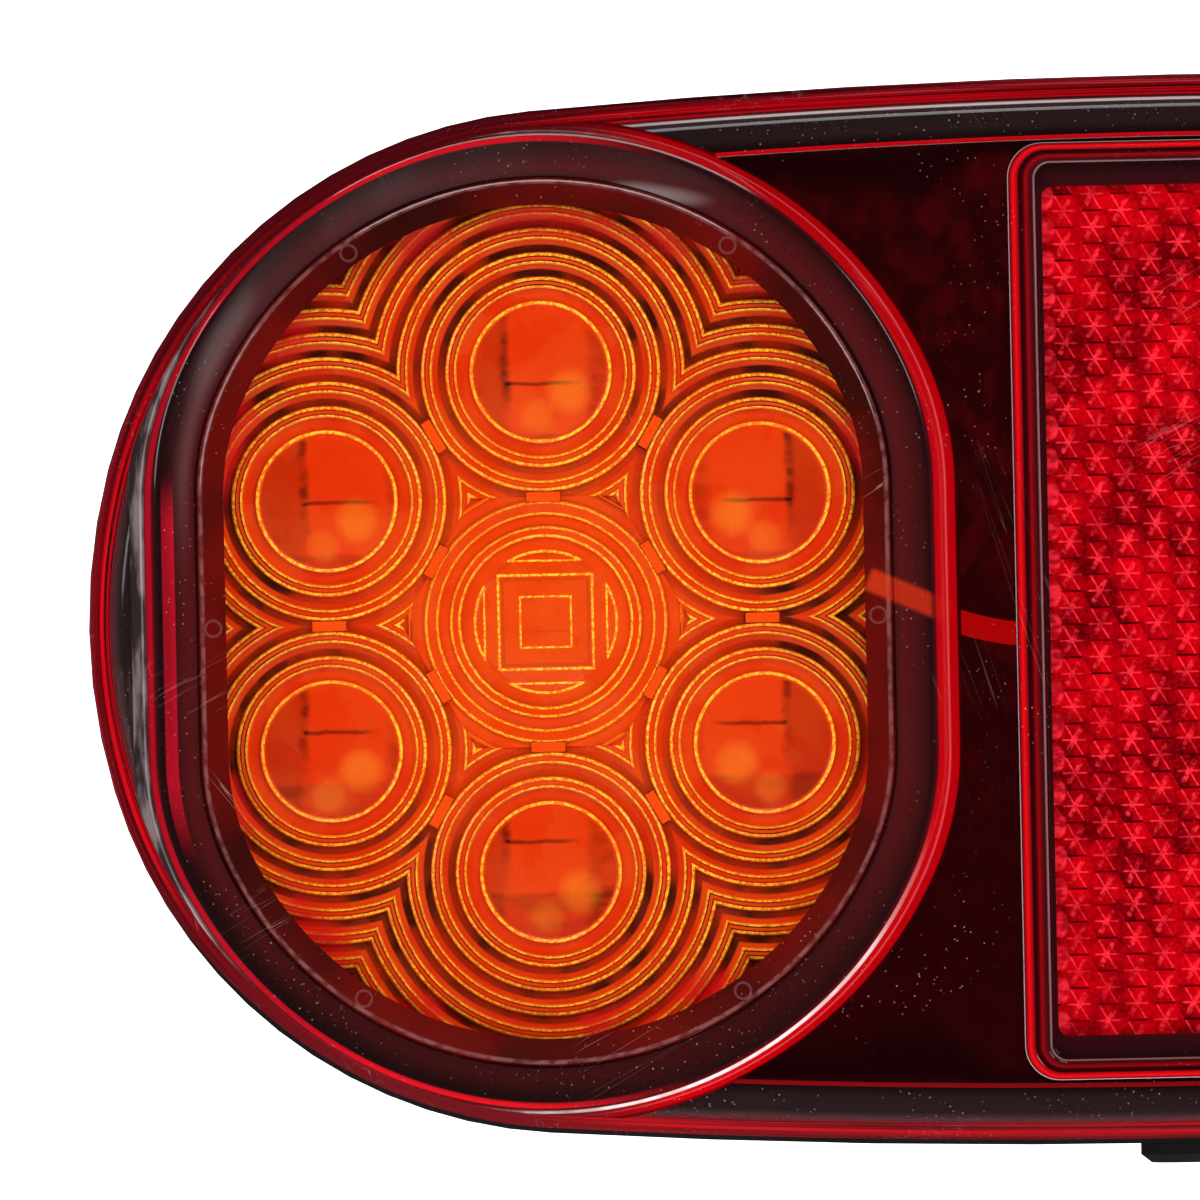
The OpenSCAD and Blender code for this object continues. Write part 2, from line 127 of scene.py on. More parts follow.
class Tree:
    """A node tree that is built in the script."""

    def __init__(self, tree):
        self.tree = tree

    def add(self, kind, settings=None, inputs=None):
        """Any node: its type, its settings, which are set first, and the values or links of its sockets."""
        node = self.tree.nodes.new(kind)
        for key, value in (settings or {}).items():
            if key == "stops":
                self.set_stops(node.color_ramp, value)
            else:
                setattr(node, key, value)
        for key, value in (inputs or {}).items():
            self.put(node.inputs[key], value)
        return node

    def set_stops(self, ramp, stops):
        """Each stop is a place with a colour from 0 to 255, or a place with one amount from 0 to 1."""
        while len(ramp.elements) > 1:
            ramp.elements.remove(ramp.elements[-1])
        for i, (at, *shade) in enumerate(stops):
            stop = ramp.elements[0] if i == 0 else ramp.elements.new(at)
            stop.position = at
            stop.color = (*(tint(*shade) if len(shade) == 3 else shade * 3), 1)

    def put(self, socket, value):
        """Links an output or a number to a socket, or sets the socket to a plain value."""
        value = value.socket if isinstance(value, Number) else value
        if isinstance(value, bpy.types.NodeSocket):
            self.tree.links.new(value, socket)
        else:
            socket.default_value = (*value, 1) if socket.type == "RGBA" else value


class Finish(Tree):
    """A material. Its patterns read Object coordinates, so they stay where they are on the piece."""

    def __init__(self, name):
        self.material = bpy.data.materials.new(name)
        self.material.use_nodes = True
        super().__init__(self.material.node_tree)
        self.tree.nodes.clear()
        self.coords = self.add("ShaderNodeTexCoord").outputs["Object"]

    def number(self, kind, settings, inputs, output=0):
        """A node whose output is used in sums."""
        return Number(self, self.add(kind, settings, inputs).outputs[output])

    def attribute(self, name):
        """A number that the mesh keeps on its points."""
        return self.number("ShaderNodeAttribute", {"attribute_name": name}, {}, "Fac")

    def parts(self, vector):
        """The three numbers of a vector, or of the attribute of that name."""
        if isinstance(vector, str):
            vector = self.add("ShaderNodeAttribute", {"attribute_name": vector}).outputs["Vector"]
        return [Number(self, part) for part in self.add("ShaderNodeSeparateXYZ", {}, {0: vector}).outputs]

    def place(self, middle=0.0):
        """How far a point lies to the right of middle, and how far up, in millimetres."""
        x, _, z = self.parts(self.coords)
        return x * 1000 - middle, z * 1000

    def noise_at(self, vector, scale, detail=2.0, rough=0.5):
        inputs = {"Vector": vector, "Scale": scale, "Detail": detail, "Roughness": rough}
        return self.number("ShaderNodeTexNoise", {}, inputs, "Fac")

    def noise(self, scale, detail=2.0, stretch=(1, 1, 1), seed=0.0):
        """Noise of a given number of cycles in a metre, at the piece's own place."""
        inputs = {"Vector": self.coords, "Scale": stretch, "Location": (seed, seed, seed)}
        return self.noise_at(self.add("ShaderNodeMapping", {}, inputs).outputs[0], scale, detail)

    def specks(self, scale, size):
        """Sharp specks: 1 within size of a scattered point."""
        return self.cells(scale).ramp(size, size * 0.5)

    def cells(self, scale):
        """How far a point is from the middle of its cell."""
        return self.number("ShaderNodeTexVoronoi", {}, {"Vector": self.coords, "Scale": scale}, "Distance")

    def mix(self, amount, low, high):
        """A colour that goes from low to high."""
        return self.add("ShaderNodeMix", {"data_type": "RGBA"}, {0: amount, 6: low, 7: high}).outputs[2]

    def paint(self, colour, *layers):
        """Layers over a colour. A layer is how much of it shows, and its colour from 0 to 255 or a socket."""
        colour = tint(*colour) if isinstance(colour, tuple) else colour
        for amount, over in layers:
            colour = self.mix(amount, colour, tint(*over) if isinstance(over, tuple) else over)
        return colour

    def bump(self, height, distance, strength):
        inputs = {"Height": height, "Distance": distance, "Strength": strength}
        return self.add("ShaderNodeBump", {}, inputs).outputs[0]

    def plastic(self, colour, roughness, **more):
        """A Principled surface. Extra sockets are given by name, with _ for a space."""
        inputs = {"Base Color": colour, "Roughness": roughness}
        inputs.update({key.replace("_", " "): value for key, value in more.items()})
        return self.add("ShaderNodeBsdfPrincipled", {}, inputs).outputs[0]

    def film(self, red=1.0, green=1.0, blue=1.0):
        """A surface that light goes straight through. It takes the linear colour on the way."""
        return self.add("ShaderNodeBsdfTransparent", {}, {"Color": (red, green, blue)}).outputs[0]

    def blend(self, amount, low, high):
        """A surface that goes from low to high."""
        return self.add("ShaderNodeMixShader", {}, {0: amount, 1: low, 2: high}).outputs[0]

    def done(self, shader):
        out = self.add("ShaderNodeOutputMaterial")
        self.tree.links.new(shader, out.inputs["Surface"])
        return self.material


print("a red of 196 is", tint(196, 0, 0)[0], "in linear colour")

# %% [markdown]
# ## Backdrop, room and lights
# The lamp stands before one sheet that sweeps from floor to wall, because a corner would show as a line. A
# closed box would block the view from behind, so the back of the sheet is clear, and a pale shell stands
# round everything. A light either shows in gloss or fills the shadows. Only narrow panels show in gloss, so
# the lamp's dark face stays dark.

# %% Backdrop and room
FLOOR_FRONT_Y, WALL_Y = -1.6, 0.9
FLOOR_Z, WALL_TOP_Z = -0.3, 1.6
SWEEP_R, SHEET_HALF, ROOM_R = 0.4, 2.2, 6.0


def pale_surface(f, scale, detail, glow):
    """Matt and pale with a faint grain, and bright by itself."""
    shade = f.mix(f.noise(scale, detail), (0.93, 0.93, 0.93), (0.96, 0.96, 0.96))
    return f.plastic(shade, 0.9, Emission_Color=(1.0, 1.0, 1.0), Emission_Strength=glow)


def backdrop():
    """One sheet: a floor that sweeps up into a wall. Its back is clear."""
    middle_y, middle_z = WALL_Y - SWEEP_R, FLOOR_Z + SWEEP_R
    sweep = [(middle_y + SWEEP_R * math.sin(a), middle_z - SWEEP_R * math.cos(a))
             for a in np.linspace(0, math.pi / 2, 16)]
    profile = [(FLOOR_FRONT_Y, FLOOR_Z)] + sweep + [(WALL_Y, WALL_TOP_Z)]
    points = [(x, y, z) for y, z in profile for x in (-SHEET_HALF, SHEET_HALF)]
    mesh = bpy.data.meshes.new("backdrop")
    mesh.from_pydata(points, [], [(2 * i, 2 * i + 1, 2 * i + 3, 2 * i + 2) for i in range(len(profile) - 1)])
    for face in mesh.polygons:
        face.use_smooth = True
    paper = Finish("pale_paper")
    behind = paper.add("ShaderNodeNewGeometry").outputs["Backfacing"]
    mesh.materials.append(paper.done(paper.blend(behind, pale_surface(paper, 60.0, 3.0, 0.9), paper.film())))
    sheet = bpy.data.objects.new("backdrop", mesh)
    bpy.context.scene.collection.objects.link(sheet)
    sheet.visible_glossy = False


def room():
    """A pale shell round everything. It lights nothing, and the camera sees it past the sheet from behind."""
    work = bmesh.new()
    bmesh.ops.create_icosphere(work, subdivisions=4, radius=ROOM_R)
    mesh = bpy.data.meshes.new("room")
    work.to_mesh(mesh)
    work.free()
    walls = Finish("pale_walls")
    mesh.materials.append(walls.done(pale_surface(walls, 1.0, 1.0, 1.0)))
    shell = bpy.data.objects.new("room", mesh)
    bpy.context.scene.collection.objects.link(shell)
    shell.visible_diffuse = shell.visible_glossy = shell.visible_transmission = shell.visible_shadow = False


backdrop()
room()
print("backdrop", 2 * SHEET_HALF, "m wide in a room", 2 * ROOM_R, "m across")


# %% Lights
def panel(name, place, size, power, gloss=True, target=(-0.05, 0, 0)):
    """An area light that faces target. It either shows in gloss or fills the shadows, never both."""
    data = bpy.data.lights.new(name, "AREA")
    data.shape = "RECTANGLE"
    data.size, data.size_y = size
    data.energy = power
    light = bpy.data.objects.new(name, data)
    bpy.context.scene.collection.objects.link(light)
    light.location = place
    light.rotation_euler = (Vector(target) - Vector(place)).to_track_quat("-Z", "Y").to_euler()
    light.visible_glossy = gloss
    light.visible_diffuse = not gloss
    return light


panels = [panel("fill_panel", (0.35, -1.3, 0.8), (0.9, 0.7), 19, gloss=False),
          panel("side_fill_panel", (-0.9, -0.8, 0.3), (0.6, 0.7), 4, gloss=False),
          panel("top_panel", (-0.05, -0.05, 0.75), (0.9, 0.28), 5),
          panel("left_panel", (-0.85, -0.3, 0.3), (0.2, 0.5), 2),
          panel("right_panel", (0.75, -0.5, 0.45), (0.2, 0.4), 2, target=(0, 0, 0))]
world = bpy.data.worlds.new("studio")
world.use_nodes = True
world.node_tree.nodes["Background"].inputs["Color"].default_value = (1, 1, 1, 1)
world.node_tree.nodes["Background"].inputs["Strength"].default_value = 0.03
bpy.context.scene.world = world
print(len(panels), "panels and a faint world light")

# %% [markdown]
# ## The lamp's outlines
# Seen from in front the lamp is a long oval made of three arcs in each quarter: a side arc, a corner arc
# and a nearly flat top arc. It could be drawn as a curve by hand, but then it couldn't be moved inwards
# exactly. Here a point of an outline is named by the direction that its edge faces, so an outline moved
# inwards keeps its points in step, and two outlines can be skinned point to point.

# %% Outlines
HALF_L, HALF_H = 103.65, 50.4
CORNER_R, CORNER_X, CORNER_Z = 45.4, 57.85, 2.9
SIDE_X = ((HALF_L - CORNER_R) ** 2 - CORNER_X ** 2 - CORNER_Z ** 2) / (2 * (HALF_L - CORNER_R - CORNER_X))
TOP_Z = ((HALF_H - CORNER_R) ** 2 - CORNER_X ** 2 - CORNER_Z ** 2) / (2 * (HALF_H - CORNER_R - CORNER_Z))
# each arc: how far across and up its middle lies, and its radius
SIDE_ARC = (SIDE_X, 0, HALF_L - SIDE_X)
CORNER_ARC = (CORNER_X, CORNER_Z, CORNER_R)
TOP_ARC = (0, TOP_Z, HALF_H - TOP_Z)
TURN_SIDE = math.atan2(CORNER_Z, CORNER_X - SIDE_X)
TURN_TOP = math.atan2(CORNER_Z - TOP_Z, CORNER_X)
# the window of a module: straight sides, fillets, and a round crown at the top and bottom
MODULE_X, MODULE_TOP, MODULE_R, MODULE_SIDE, FILLET_R = 60.6, 42.0, 33.7, 32.8, 24.0
CROWN_Z = MODULE_TOP - MODULE_R
FILLET_X = MODULE_SIDE - FILLET_R
FILLET_Z = CROWN_Z + math.sqrt((MODULE_R - FILLET_R) ** 2 - FILLET_X ** 2)
TURN_FILLET = math.atan2(FILLET_Z - CROWN_Z, FILLET_X)


def around(quarter):
    """A whole anticlockwise outline from the quarter that runs from +X up to the top."""
    q = np.array(quarter)
    return np.concatenate([q, (q[::-1] * (-1, 1))[1:], (q * (-1, -1))[1:], (q[::-1] * (1, -1))[1:-1]])


def lamp_outline(inset):
    angles = np.concatenate([np.linspace(0, TURN_SIDE, 8)[:-1], np.linspace(TURN_SIDE, TURN_TOP, 44)[:-1],
                             np.linspace(TURN_TOP, math.pi / 2, 18)])
    points = []
    for a in angles:
        x, z, r = SIDE_ARC if a < TURN_SIDE else CORNER_ARC if a <= TURN_TOP else TOP_ARC
        points.append((x + (r - inset) * math.cos(a), z + (r - inset) * math.sin(a)))
    points[-1] = (0.0, HALF_H - inset)
    return around(points)


def module_distance(x, z):
    """How far a point lies outside the module's window."""
    u, v = abs(x), abs(z)
    if v <= FILLET_Z:
        return u - MODULE_SIDE
    if math.atan2(v - FILLET_Z, u - FILLET_X) < TURN_FILLET:
        return math.hypot(u - FILLET_X, v - FILLET_Z) - FILLET_R
    return math.hypot(u, v - CROWN_Z) - MODULE_R


def module_outline(outset, top_outset=None):
    """The module's window grown by outset at the sides and by top_outset at the top and bottom."""
    top_outset = outset if top_outset is None else top_outset
    window = [(MODULE_SIDE, FILLET_Z * t, 0.0) for t in np.linspace(0, 1, 6)[:-1]]
    window += [(FILLET_X + FILLET_R * math.cos(a), FILLET_Z + FILLET_R * math.sin(a), a)
               for a in np.linspace(0, TURN_FILLET, 14)[:-1]]
    window += [(MODULE_R * math.cos(a), CROWN_Z + MODULE_R * math.sin(a), a)
               for a in np.linspace(TURN_FILLET, math.pi / 2, 36)]
    points = []
    for x, z, a in window:
        move = outset * math.cos(a) ** 2 + top_outset * math.sin(a) ** 2
        points.append((x + move * math.cos(a), z + move * math.sin(a)))
    points[-1] = (0.0, points[-1][1])
    return around(points)


def kept_in(points, inset):
    """Points that lie outside the lamp's outline, moved in by inset, are pulled back onto it."""
    out = np.array(points, float)
    for i, (x, z) in enumerate(out):
        u, v = abs(x), abs(z)
        beside = math.atan2(v, u - SIDE_X) < TURN_SIDE
        above = math.atan2(v - TOP_Z, u) > TURN_TOP
        cx, cz, r = SIDE_ARC if beside else TOP_ARC if above else CORNER_ARC
        k = min(1.0, (r - inset) / math.hypot(u - cx, v - cz))
        out[i] = math.copysign(cx + (u - cx) * k, x), math.copysign(cz + (v - cz) * k, z)
    return out


def rounded_outline(half_x, half_z, radius):
    corner = [(half_x - radius + radius * math.cos(a), half_z - radius + radius * math.sin(a))
              for a in np.linspace(0, math.pi / 2, 14)]
    return around([(half_x, 0.0)] + corner + [(0.0, half_z)])


print("outline points", len(lamp_outline(0)), len(module_outline(0)))

# %% [markdown]
# ## Skins
# Most pieces of the lens are skins over a stack of outlines, from the back forwards. They could be cut out
# with Boolean modifiers, but a skin keeps neat rows of points along every edge. Each outline also carries a
# number, `band`, which says where on the section it lies, so that a finish can follow an edge exactly.


# %% Faces between outlines
def to_metres(points, height):
    """Flat points at a height above the back, in metres: the lamp shines towards -Y."""
    return [(x * MM, -height * MM, z * MM) for x, z in points]


def strip(low, high, n):
    """Quads between two rings of n points. low and high are the numbers of the rings' first points."""
    return [(low + i, low + (i + 1) % n, high + (i + 1) % n, high + i) for i in range(n)]


def skin(n, m, first=0, closed=False):
    """Faces between m rings of n points. closed joins the last ring to the first."""
    faces = []
    for j in range(m if closed else m - 1):
        faces += strip(first + j * n, first + (j + 1) % m * n, n)
    return faces


def stacked(section, outline):
    """Points and bands of a stack. A row of the section is what outline takes, then a height and a band."""
    verts, bands = [], []
    for *shape, height, band in section:
        ring = to_metres(outline(*shape), height)
        verts += ring
        bands += [band] * len(ring)
    return verts, bands


def inside(p, loop):
    """Whether a point lies inside a loop: a line from it crosses the loop an odd number of times."""
    loop = np.asarray(loop)
    nxt = np.roll(loop, -1, axis=0)
    over = (loop[:, 1] > p[1]) != (nxt[:, 1] > p[1])
    with np.errstate(divide="ignore", invalid="ignore"):
        cross = loop[:, 0] + (p[1] - loop[:, 1]) * (nxt[:, 0] - loop[:, 0]) / (nxt[:, 1] - loop[:, 1])
    return bool(np.count_nonzero(over & (p[0] < cross)) % 2)


def holed_face(outer, holes):
    """Triangles of a flat face with holes, as triples of the points' numbers."""
    points, edges = [], []
    for loop in [outer, *holes]:
        start = len(points)
        points += [Vector(p) for p in loop]
        edges += [(start + i, start + (i + 1) % len(loop)) for i in range(len(loop))]
    verts, _, faces, origin, _, _ = geometry.delaunay_2d_cdt(points, edges, [], 0, 1e-7)
    kept = []
    for f in faces:
        centre = sum((verts[i] for i in f), Vector((0, 0))) / len(f)
        if inside(centre, outer) and not any(inside(centre, h) for h in holes):
            kept.append(tuple(origin[i][0] for i in f))
    return kept


print("a square is", len(holed_face([(0, 0), (1, 0), (1, 1), (0, 1)], [])), "triangles")


# %% Meshes into pieces
def keep(mesh, key, values, domain="POINT"):
    """Keeps a number or a vector on each point or corner of a mesh, for a finish or a tree to read."""
    values = np.array(values, np.float32)
    kind, field = ("FLOAT", "value") if values.ndim == 1 else ("FLOAT_VECTOR", "vector")
    mesh.attributes.new(key, kind, domain).data.foreach_set(field, values.ravel())


def soften(mesh, degrees):
    """Smooth faces. Edges sharper than the angle stay crisp, and faces square to the front stay flat."""
    work = bmesh.new()
    work.from_mesh(mesh)
    limit = math.radians(degrees)
    for f in work.faces:
        f.smooth = abs(f.normal.y) < 0.9999
    for e in work.edges:
        if len(e.link_faces) == 2:
            e.smooth = e.calc_face_angle(0) < limit
    work.to_mesh(mesh)
    work.free()


def fit(name, mesh, smooth=0, replaces=()):
    """Makes a finished mesh into a piece that rides on the lamp. smooth is an angle in degrees."""
    if smooth:
        soften(mesh, smooth)
    thing = bpy.data.objects.new(name, mesh)
    bpy.context.scene.collection.objects.link(thing)
    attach(thing, "root")
    if replaces:
        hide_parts(*replaces)
    return thing


def piece(name, verts, faces, finish, slot, smooth, replaces=(), **numbers):
    """A piece from points and faces. numbers are lists, one number a point, for the finish to read."""
    mesh = bpy.data.meshes.new(name)
    mesh.from_pydata(verts, [], faces)
    for key, values in numbers.items():
        keep(mesh, key, values)
    mesh.validate()
    work = bmesh.new()
    work.from_mesh(mesh)
    bmesh.ops.recalc_face_normals(work, faces=work.faces)
    work.to_mesh(mesh)
    work.free()
    mesh.materials.append(finish)
    return fit(name, mesh, smooth, replaces)


# the two modules: which side each is on, and its word
ENDS = ((-1, "turn"), (1, "stop"))
print("modules", [word for _, word in ENDS])

# %% [markdown]
# ## Red lens plastic
# The lens is clear red acrylic over a black tray, so its flat face looks almost black and lets only the
# lead and the module walls show through. Where the wall turns towards the side, light runs in through the
# edge, and the red is bright. A glass shader could do this, but it needs many light bounces and comes out
# noisy. So the finish mixes a solid red with a tinted clear film, and the solid red's colour follows the
# section with painted light: the bright wall, painted highlights and reflections, and painted shade.

# %% Dust and scratches
def wear(f, dust=1.0, scratches=0.28):
    """A mask of fine dust specks and long thin scratches that run three ways."""
    specks = f.specks(1300.0, 0.14) * f.noise(70.0, 2.0).ramp(0.46, 0.70) * dust
    marks = None
    for turn, scale, seed in ((0.5, 95.0, 3.1), (-0.9, 110.0, 7.7), (1.9, 80.0, 12.3)):
        inputs = {"Vector": f.coords, "Rotation": (0.0, turn, 0.0), "Location": (seed, 0.0, seed)}
        turned = f.add("ShaderNodeMapping", {}, inputs).outputs[0]
        long = f.add("ShaderNodeMapping", {}, {"Vector": turned, "Scale": (0.22, 1.0, 7.0)}).outputs[0]
        scratch = f.noise_at(long, scale).line(0.5, 0.007) * f.noise(55.0, 1.0, seed=seed).ramp(0.63, 0.72)
        marks = scratch if marks is None else marks.most(scratch)
    return (specks + marks * scratches).least(1.0)


print("wear is ready")


# %% Lens finish
def lens_finish(name, stops, clear, film, painted=None, streaks=0.0, flat_step=0.0):
    """stops colours the section by band; clear is how much of the surface is tinted film, also by band.

    A band of 2 is the hidden back of the plastic, which lets everything through. painted adds more marks,
    most of them painted light and shade, and streaks sets how strong the painted streaks on the wall are.
    """
    f = Finish(name)
    band = f.attribute("band")
    colour = f.add("ShaderNodeValToRGB", {"stops": stops}, {"Fac": band}).outputs["Color"]
    # painted streaks of light and shade on the wall, lying along the section
    flat = f.add("ShaderNodeVectorMath", {"operation": "MULTIPLY"}, {0: f.coords, 1: (16.0, 0.0, 16.0)})
    step = f.add("ShaderNodeCombineXYZ", {}, {"Y": band * 26})
    where = f.add("ShaderNodeVectorMath", {"operation": "ADD"}, {0: flat.outputs[0], 1: step.outputs[0]})
    streak = f.noise_at(where.outputs[0], 1.0, 3.0, 0.6)
    side = band.ramp(0.34, 0.28)
    colour = f.paint(colour, (streak.ramp(0.58, 0.36) * side * streaks, (46, 5, 10)),
                     (streak.ramp(0.62, 0.74) * side * streaks * 0.6, (232, 70, 78)))
    if painted:
        colour = painted(f, band, colour)
    worn = wear(f)
    colour = f.paint(colour, (worn * 0.42, (196, 160, 156)))
    rough = 0.08 + worn * 0.25 + f.noise(45.0, 3.0).ramp(0.5, 0.8) * 0.08
    ripple = f.bump(f.noise(90.0, 2.0), 0.0004, 0.10)
    gloss = f.plastic(colour, rough, IOR=1.49, Specular_IOR_Level=0.35, Normal=ripple)
    matte = f.plastic(colour, 0.4, IOR=1.49, Specular_IOR_Level=0.0)
    solid = f.blend(band.ramp(0.26, 0.34) * (1 - band.line(0.76, 0.05) * flat_step), matte, gloss)
    amount = Number(f, f.add("ShaderNodeValToRGB", {"stops": clear}, {"Fac": band}).outputs["Color"])
    both = f.blend(amount * (1 - worn * 0.8), solid, f.film(*film))
    return f.done(f.blend(band.ramp(1.45, 1.55), both, f.film()))


def lens_marks(f, band, colour):
    """What is painted on the shell: painted highlights and reflections on the shoulder, painted shade in the
    wall's corners, low on the wall and on the lower step, haze on the face, and specks.
    """
    x, z = f.place()
    left = x.ramp(-88.0, -98.0)
    low_shoulder = band.ramp(0.32, 0.28)
    step = band.ramp(0.70, 0.73) * band.ramp(0.81, 0.79)
    haze = f.noise(480.0, 4.0, (1.0, 1.0, 0.7)).ramp(0.42, 0.70) * (0.12 + z.ramp(-44.0, 30.0) * 0.88)
    corner = abs(x).ramp(52.0, 66.0) * abs(z).ramp(16.0, 32.0) * low_shoulder
    corner_shade_noise = f.noise(40.0, 2.0).ramp(0.3, 0.6)
    grey = f.noise(300.0, 2.0, (1, 1, 0.15)).ramp(0.42, 0.6)
    dust = f.specks(1500.0, 0.16) * f.noise(120.0, 2.0).ramp(0.42, 0.6)
    dust = dust * band.ramp(0.34, 0.4) * band.ramp(0.70, 0.64)
    return f.paint(
        colour,
        # a painted highlight along the top of the shoulder
        (band.line(0.345, 0.03) * z.ramp(30.0, 44.0) * x.ramp(-70.0, -40.0), (236, 214, 212)),
        # painted shade: the lower step line is painted dimmer
        (step * z.ramp(-20.0, -38.0) * 0.8, (74, 8, 12)),
        (band.ramp(0.84, 0.9) * (0.12 + haze * 0.30), (128, 14, 20)),
        # painted shade in the corners of the wall
        (corner * (0.6 + corner_shade_noise * 0.3), (78, 12, 18)),
        # painted shade low on the wall
        (z.ramp(-30.0, -44.0) * low_shoulder * 0.5, (96, 22, 26)),
        # a painted highlight line and painted grey reflections on the left shoulder
        (band.line(0.60, 0.03) * left, (176, 150, 148)),
        (band.line(0.45, 0.10) * left * grey * 0.6, (120, 90, 90)),
        (dust * 0.6, (170, 150, 150)))


# colours along the lens's section with painted light: the pale foot and the grey on the shoulder are painted
# reflections, and the bright red of the wall and of the step line is painted light
LENS_STOPS = [
    (0.0, 150, 60, 66), (0.02, 120, 20, 28), (0.07, 130, 10, 20), (0.11, 196, 8, 20), (0.26, 190, 10, 22),
    (0.30, 120, 10, 18), (0.38, 66, 44, 46), (0.46, 38, 24, 25), (0.62, 38, 24, 25), (0.68, 24, 10, 12),
    (0.71, 26, 6, 8), (0.73, 190, 8, 18), (0.78, 180, 7, 16), (0.80, 40, 4, 8), (1.0, 34, 3, 6)]
LENS_CLEAR = [(0.0, 0.0), (0.3, 0.0), (0.4, 0.2), (0.68, 0.3), (0.72, 0.0), (0.79, 0.0), (0.82, 0.68),
              (1.0, 0.68)]
LENS_FILM = (0.46, 0.02, 0.025)
lens_red = lens_finish("clear_red_lens", LENS_STOPS, LENS_CLEAR, LENS_FILM, lens_marks, 1.0, 1.0)
print("lens finish", len(lens_red.node_tree.nodes), "nodes")

# %% [markdown]
# ## Outer lens
# The moulding is a drafted side wall, a rounded shoulder, a thin step and a flat face with three openings,
# and the same again 2.4 mm further in. It could be a sheet with a Solidify modifier, but the inside of the
# real wall is plainer than the outside. So both sides are lists of steps in from the outline, and one
# closed skin covers them.

# %% Outer lens shell
BASE_H, FACE_H, WALL = 12.0, 30.0, 2.4
REFL_X, REFL_Z, REFL_CORNER = 13.4, 42.3, 1.2
# inset, height and band, from the foot of the wall to the face
SECTION = [
    (-0.42, 12.05, 0.0), (-0.40, 12.4, 0.01), (-0.1, 13.0, 0.04), (0.5, 15.5, 0.08), (0.8, 17.5, 0.13),
    (1.2, 20.2, 0.20), (1.6, 23.6, 0.27), (1.78, 25.6, 0.30), (1.95, 27.0, 0.33), (2.2, 27.9, 0.37),
    (2.55, 28.5, 0.42), (3.0, 28.9, 0.48), (3.7, 29.2, 0.56), (4.5, 29.4, 0.64), (5.2, 29.5, 0.69),
    (5.32, 29.55, 0.74), (5.6, 29.9, 0.77), (5.72, FACE_H, 0.81)]
HIDDEN, ON_FACE = 2.0, 1.0
INNER = [(WALL + more, height, HIDDEN) for more, height in (
    (0.0, BASE_H), (0.5, 15.0), (1.75, 23.4), (2.3, 25.6), (3.0, 27.0), (3.3, FACE_H - WALL))]
LIP_END_Z, LIP_FADE = -25, 12


def lipped_outline(inset):
    """The lip at the foot of the wall stands out of the outline, and fades away towards the bottom."""
    ring, upright = lamp_outline(inset), lamp_outline(max(inset, 0.0))
    low = np.clip((LIP_END_Z - ring[:, 1:]) / LIP_FADE, 0, 1)
    return ring * (1 - low) + upright * low


def lens_shell():
    """The outside, the inside, the foot between them, the flat faces, and the walls of the openings."""
    verts, bands = stacked(SECTION + INNER[::-1], lipped_outline)
    n, m = len(lamp_outline(0)), len(SECTION)
    faces = skin(n, m) + skin(n, len(INNER), m * n) + strip(len(verts) - n, 0, n)
    holes = [module_outline(0.1) + (side * MODULE_X, 0) for side, _ in ENDS]
    holes.append(rounded_outline(REFL_X, REFL_Z, REFL_CORNER))
    starts = []
    for (inset, height, _), row, band in ((SECTION[-1], m - 1, ON_FACE), (INNER[-1], m, HIDDEN)):
        holes = [kept_in(h, inset + 0.15) for h in holes]
        numbers = [row * n + i for i in range(n)]
        numbers += range(len(verts), len(verts) + sum(len(h) for h in holes))
        faces += [tuple(numbers[i] for i in f) for f in holed_face(lamp_outline(inset), holes)]
        starts.append([])
        for h in holes:
            starts[-1].append(len(verts))
            verts += to_metres(h, height)
            bands += [band] * len(h)
    for front, back, h in zip(*starts, holes):
        faces += strip(front, back, len(h))
    return piece("lens_shell", verts, faces, lens_red, "red_lens", 50, ["outer_lens"], band=bands)


shell = lens_shell()
print("lens shell", len(shell.data.polygons), "faces")

# %% [markdown]
# ## Collars
# Each module sits in a raised collar with a sloping wall, a rounded edge and a dark flat land. A bevelled
# ring would do in the middle of the lamp, but at its end the collar's wall runs down into the lens's own
# side. So the collar is a skin over the module's outlines, and its points are kept inside the lamp's
# outline.

# %% Painted light and shade, dust and the lead's painted glow on the collars
def painted_lead_glow(f, x, z):
    """A painted glow where the feed wire under the plastic shows through it, beside the turn module."""
    right, up = x - 30.6, z - 3.4
    along, across = right * 0.917 - up * 0.4, right * 0.4 + up * 0.917
    return abs(across).ramp(1.35, 0.75) * along.ramp(-0.4, 0.3) * along.ramp(8.8, 7.6)


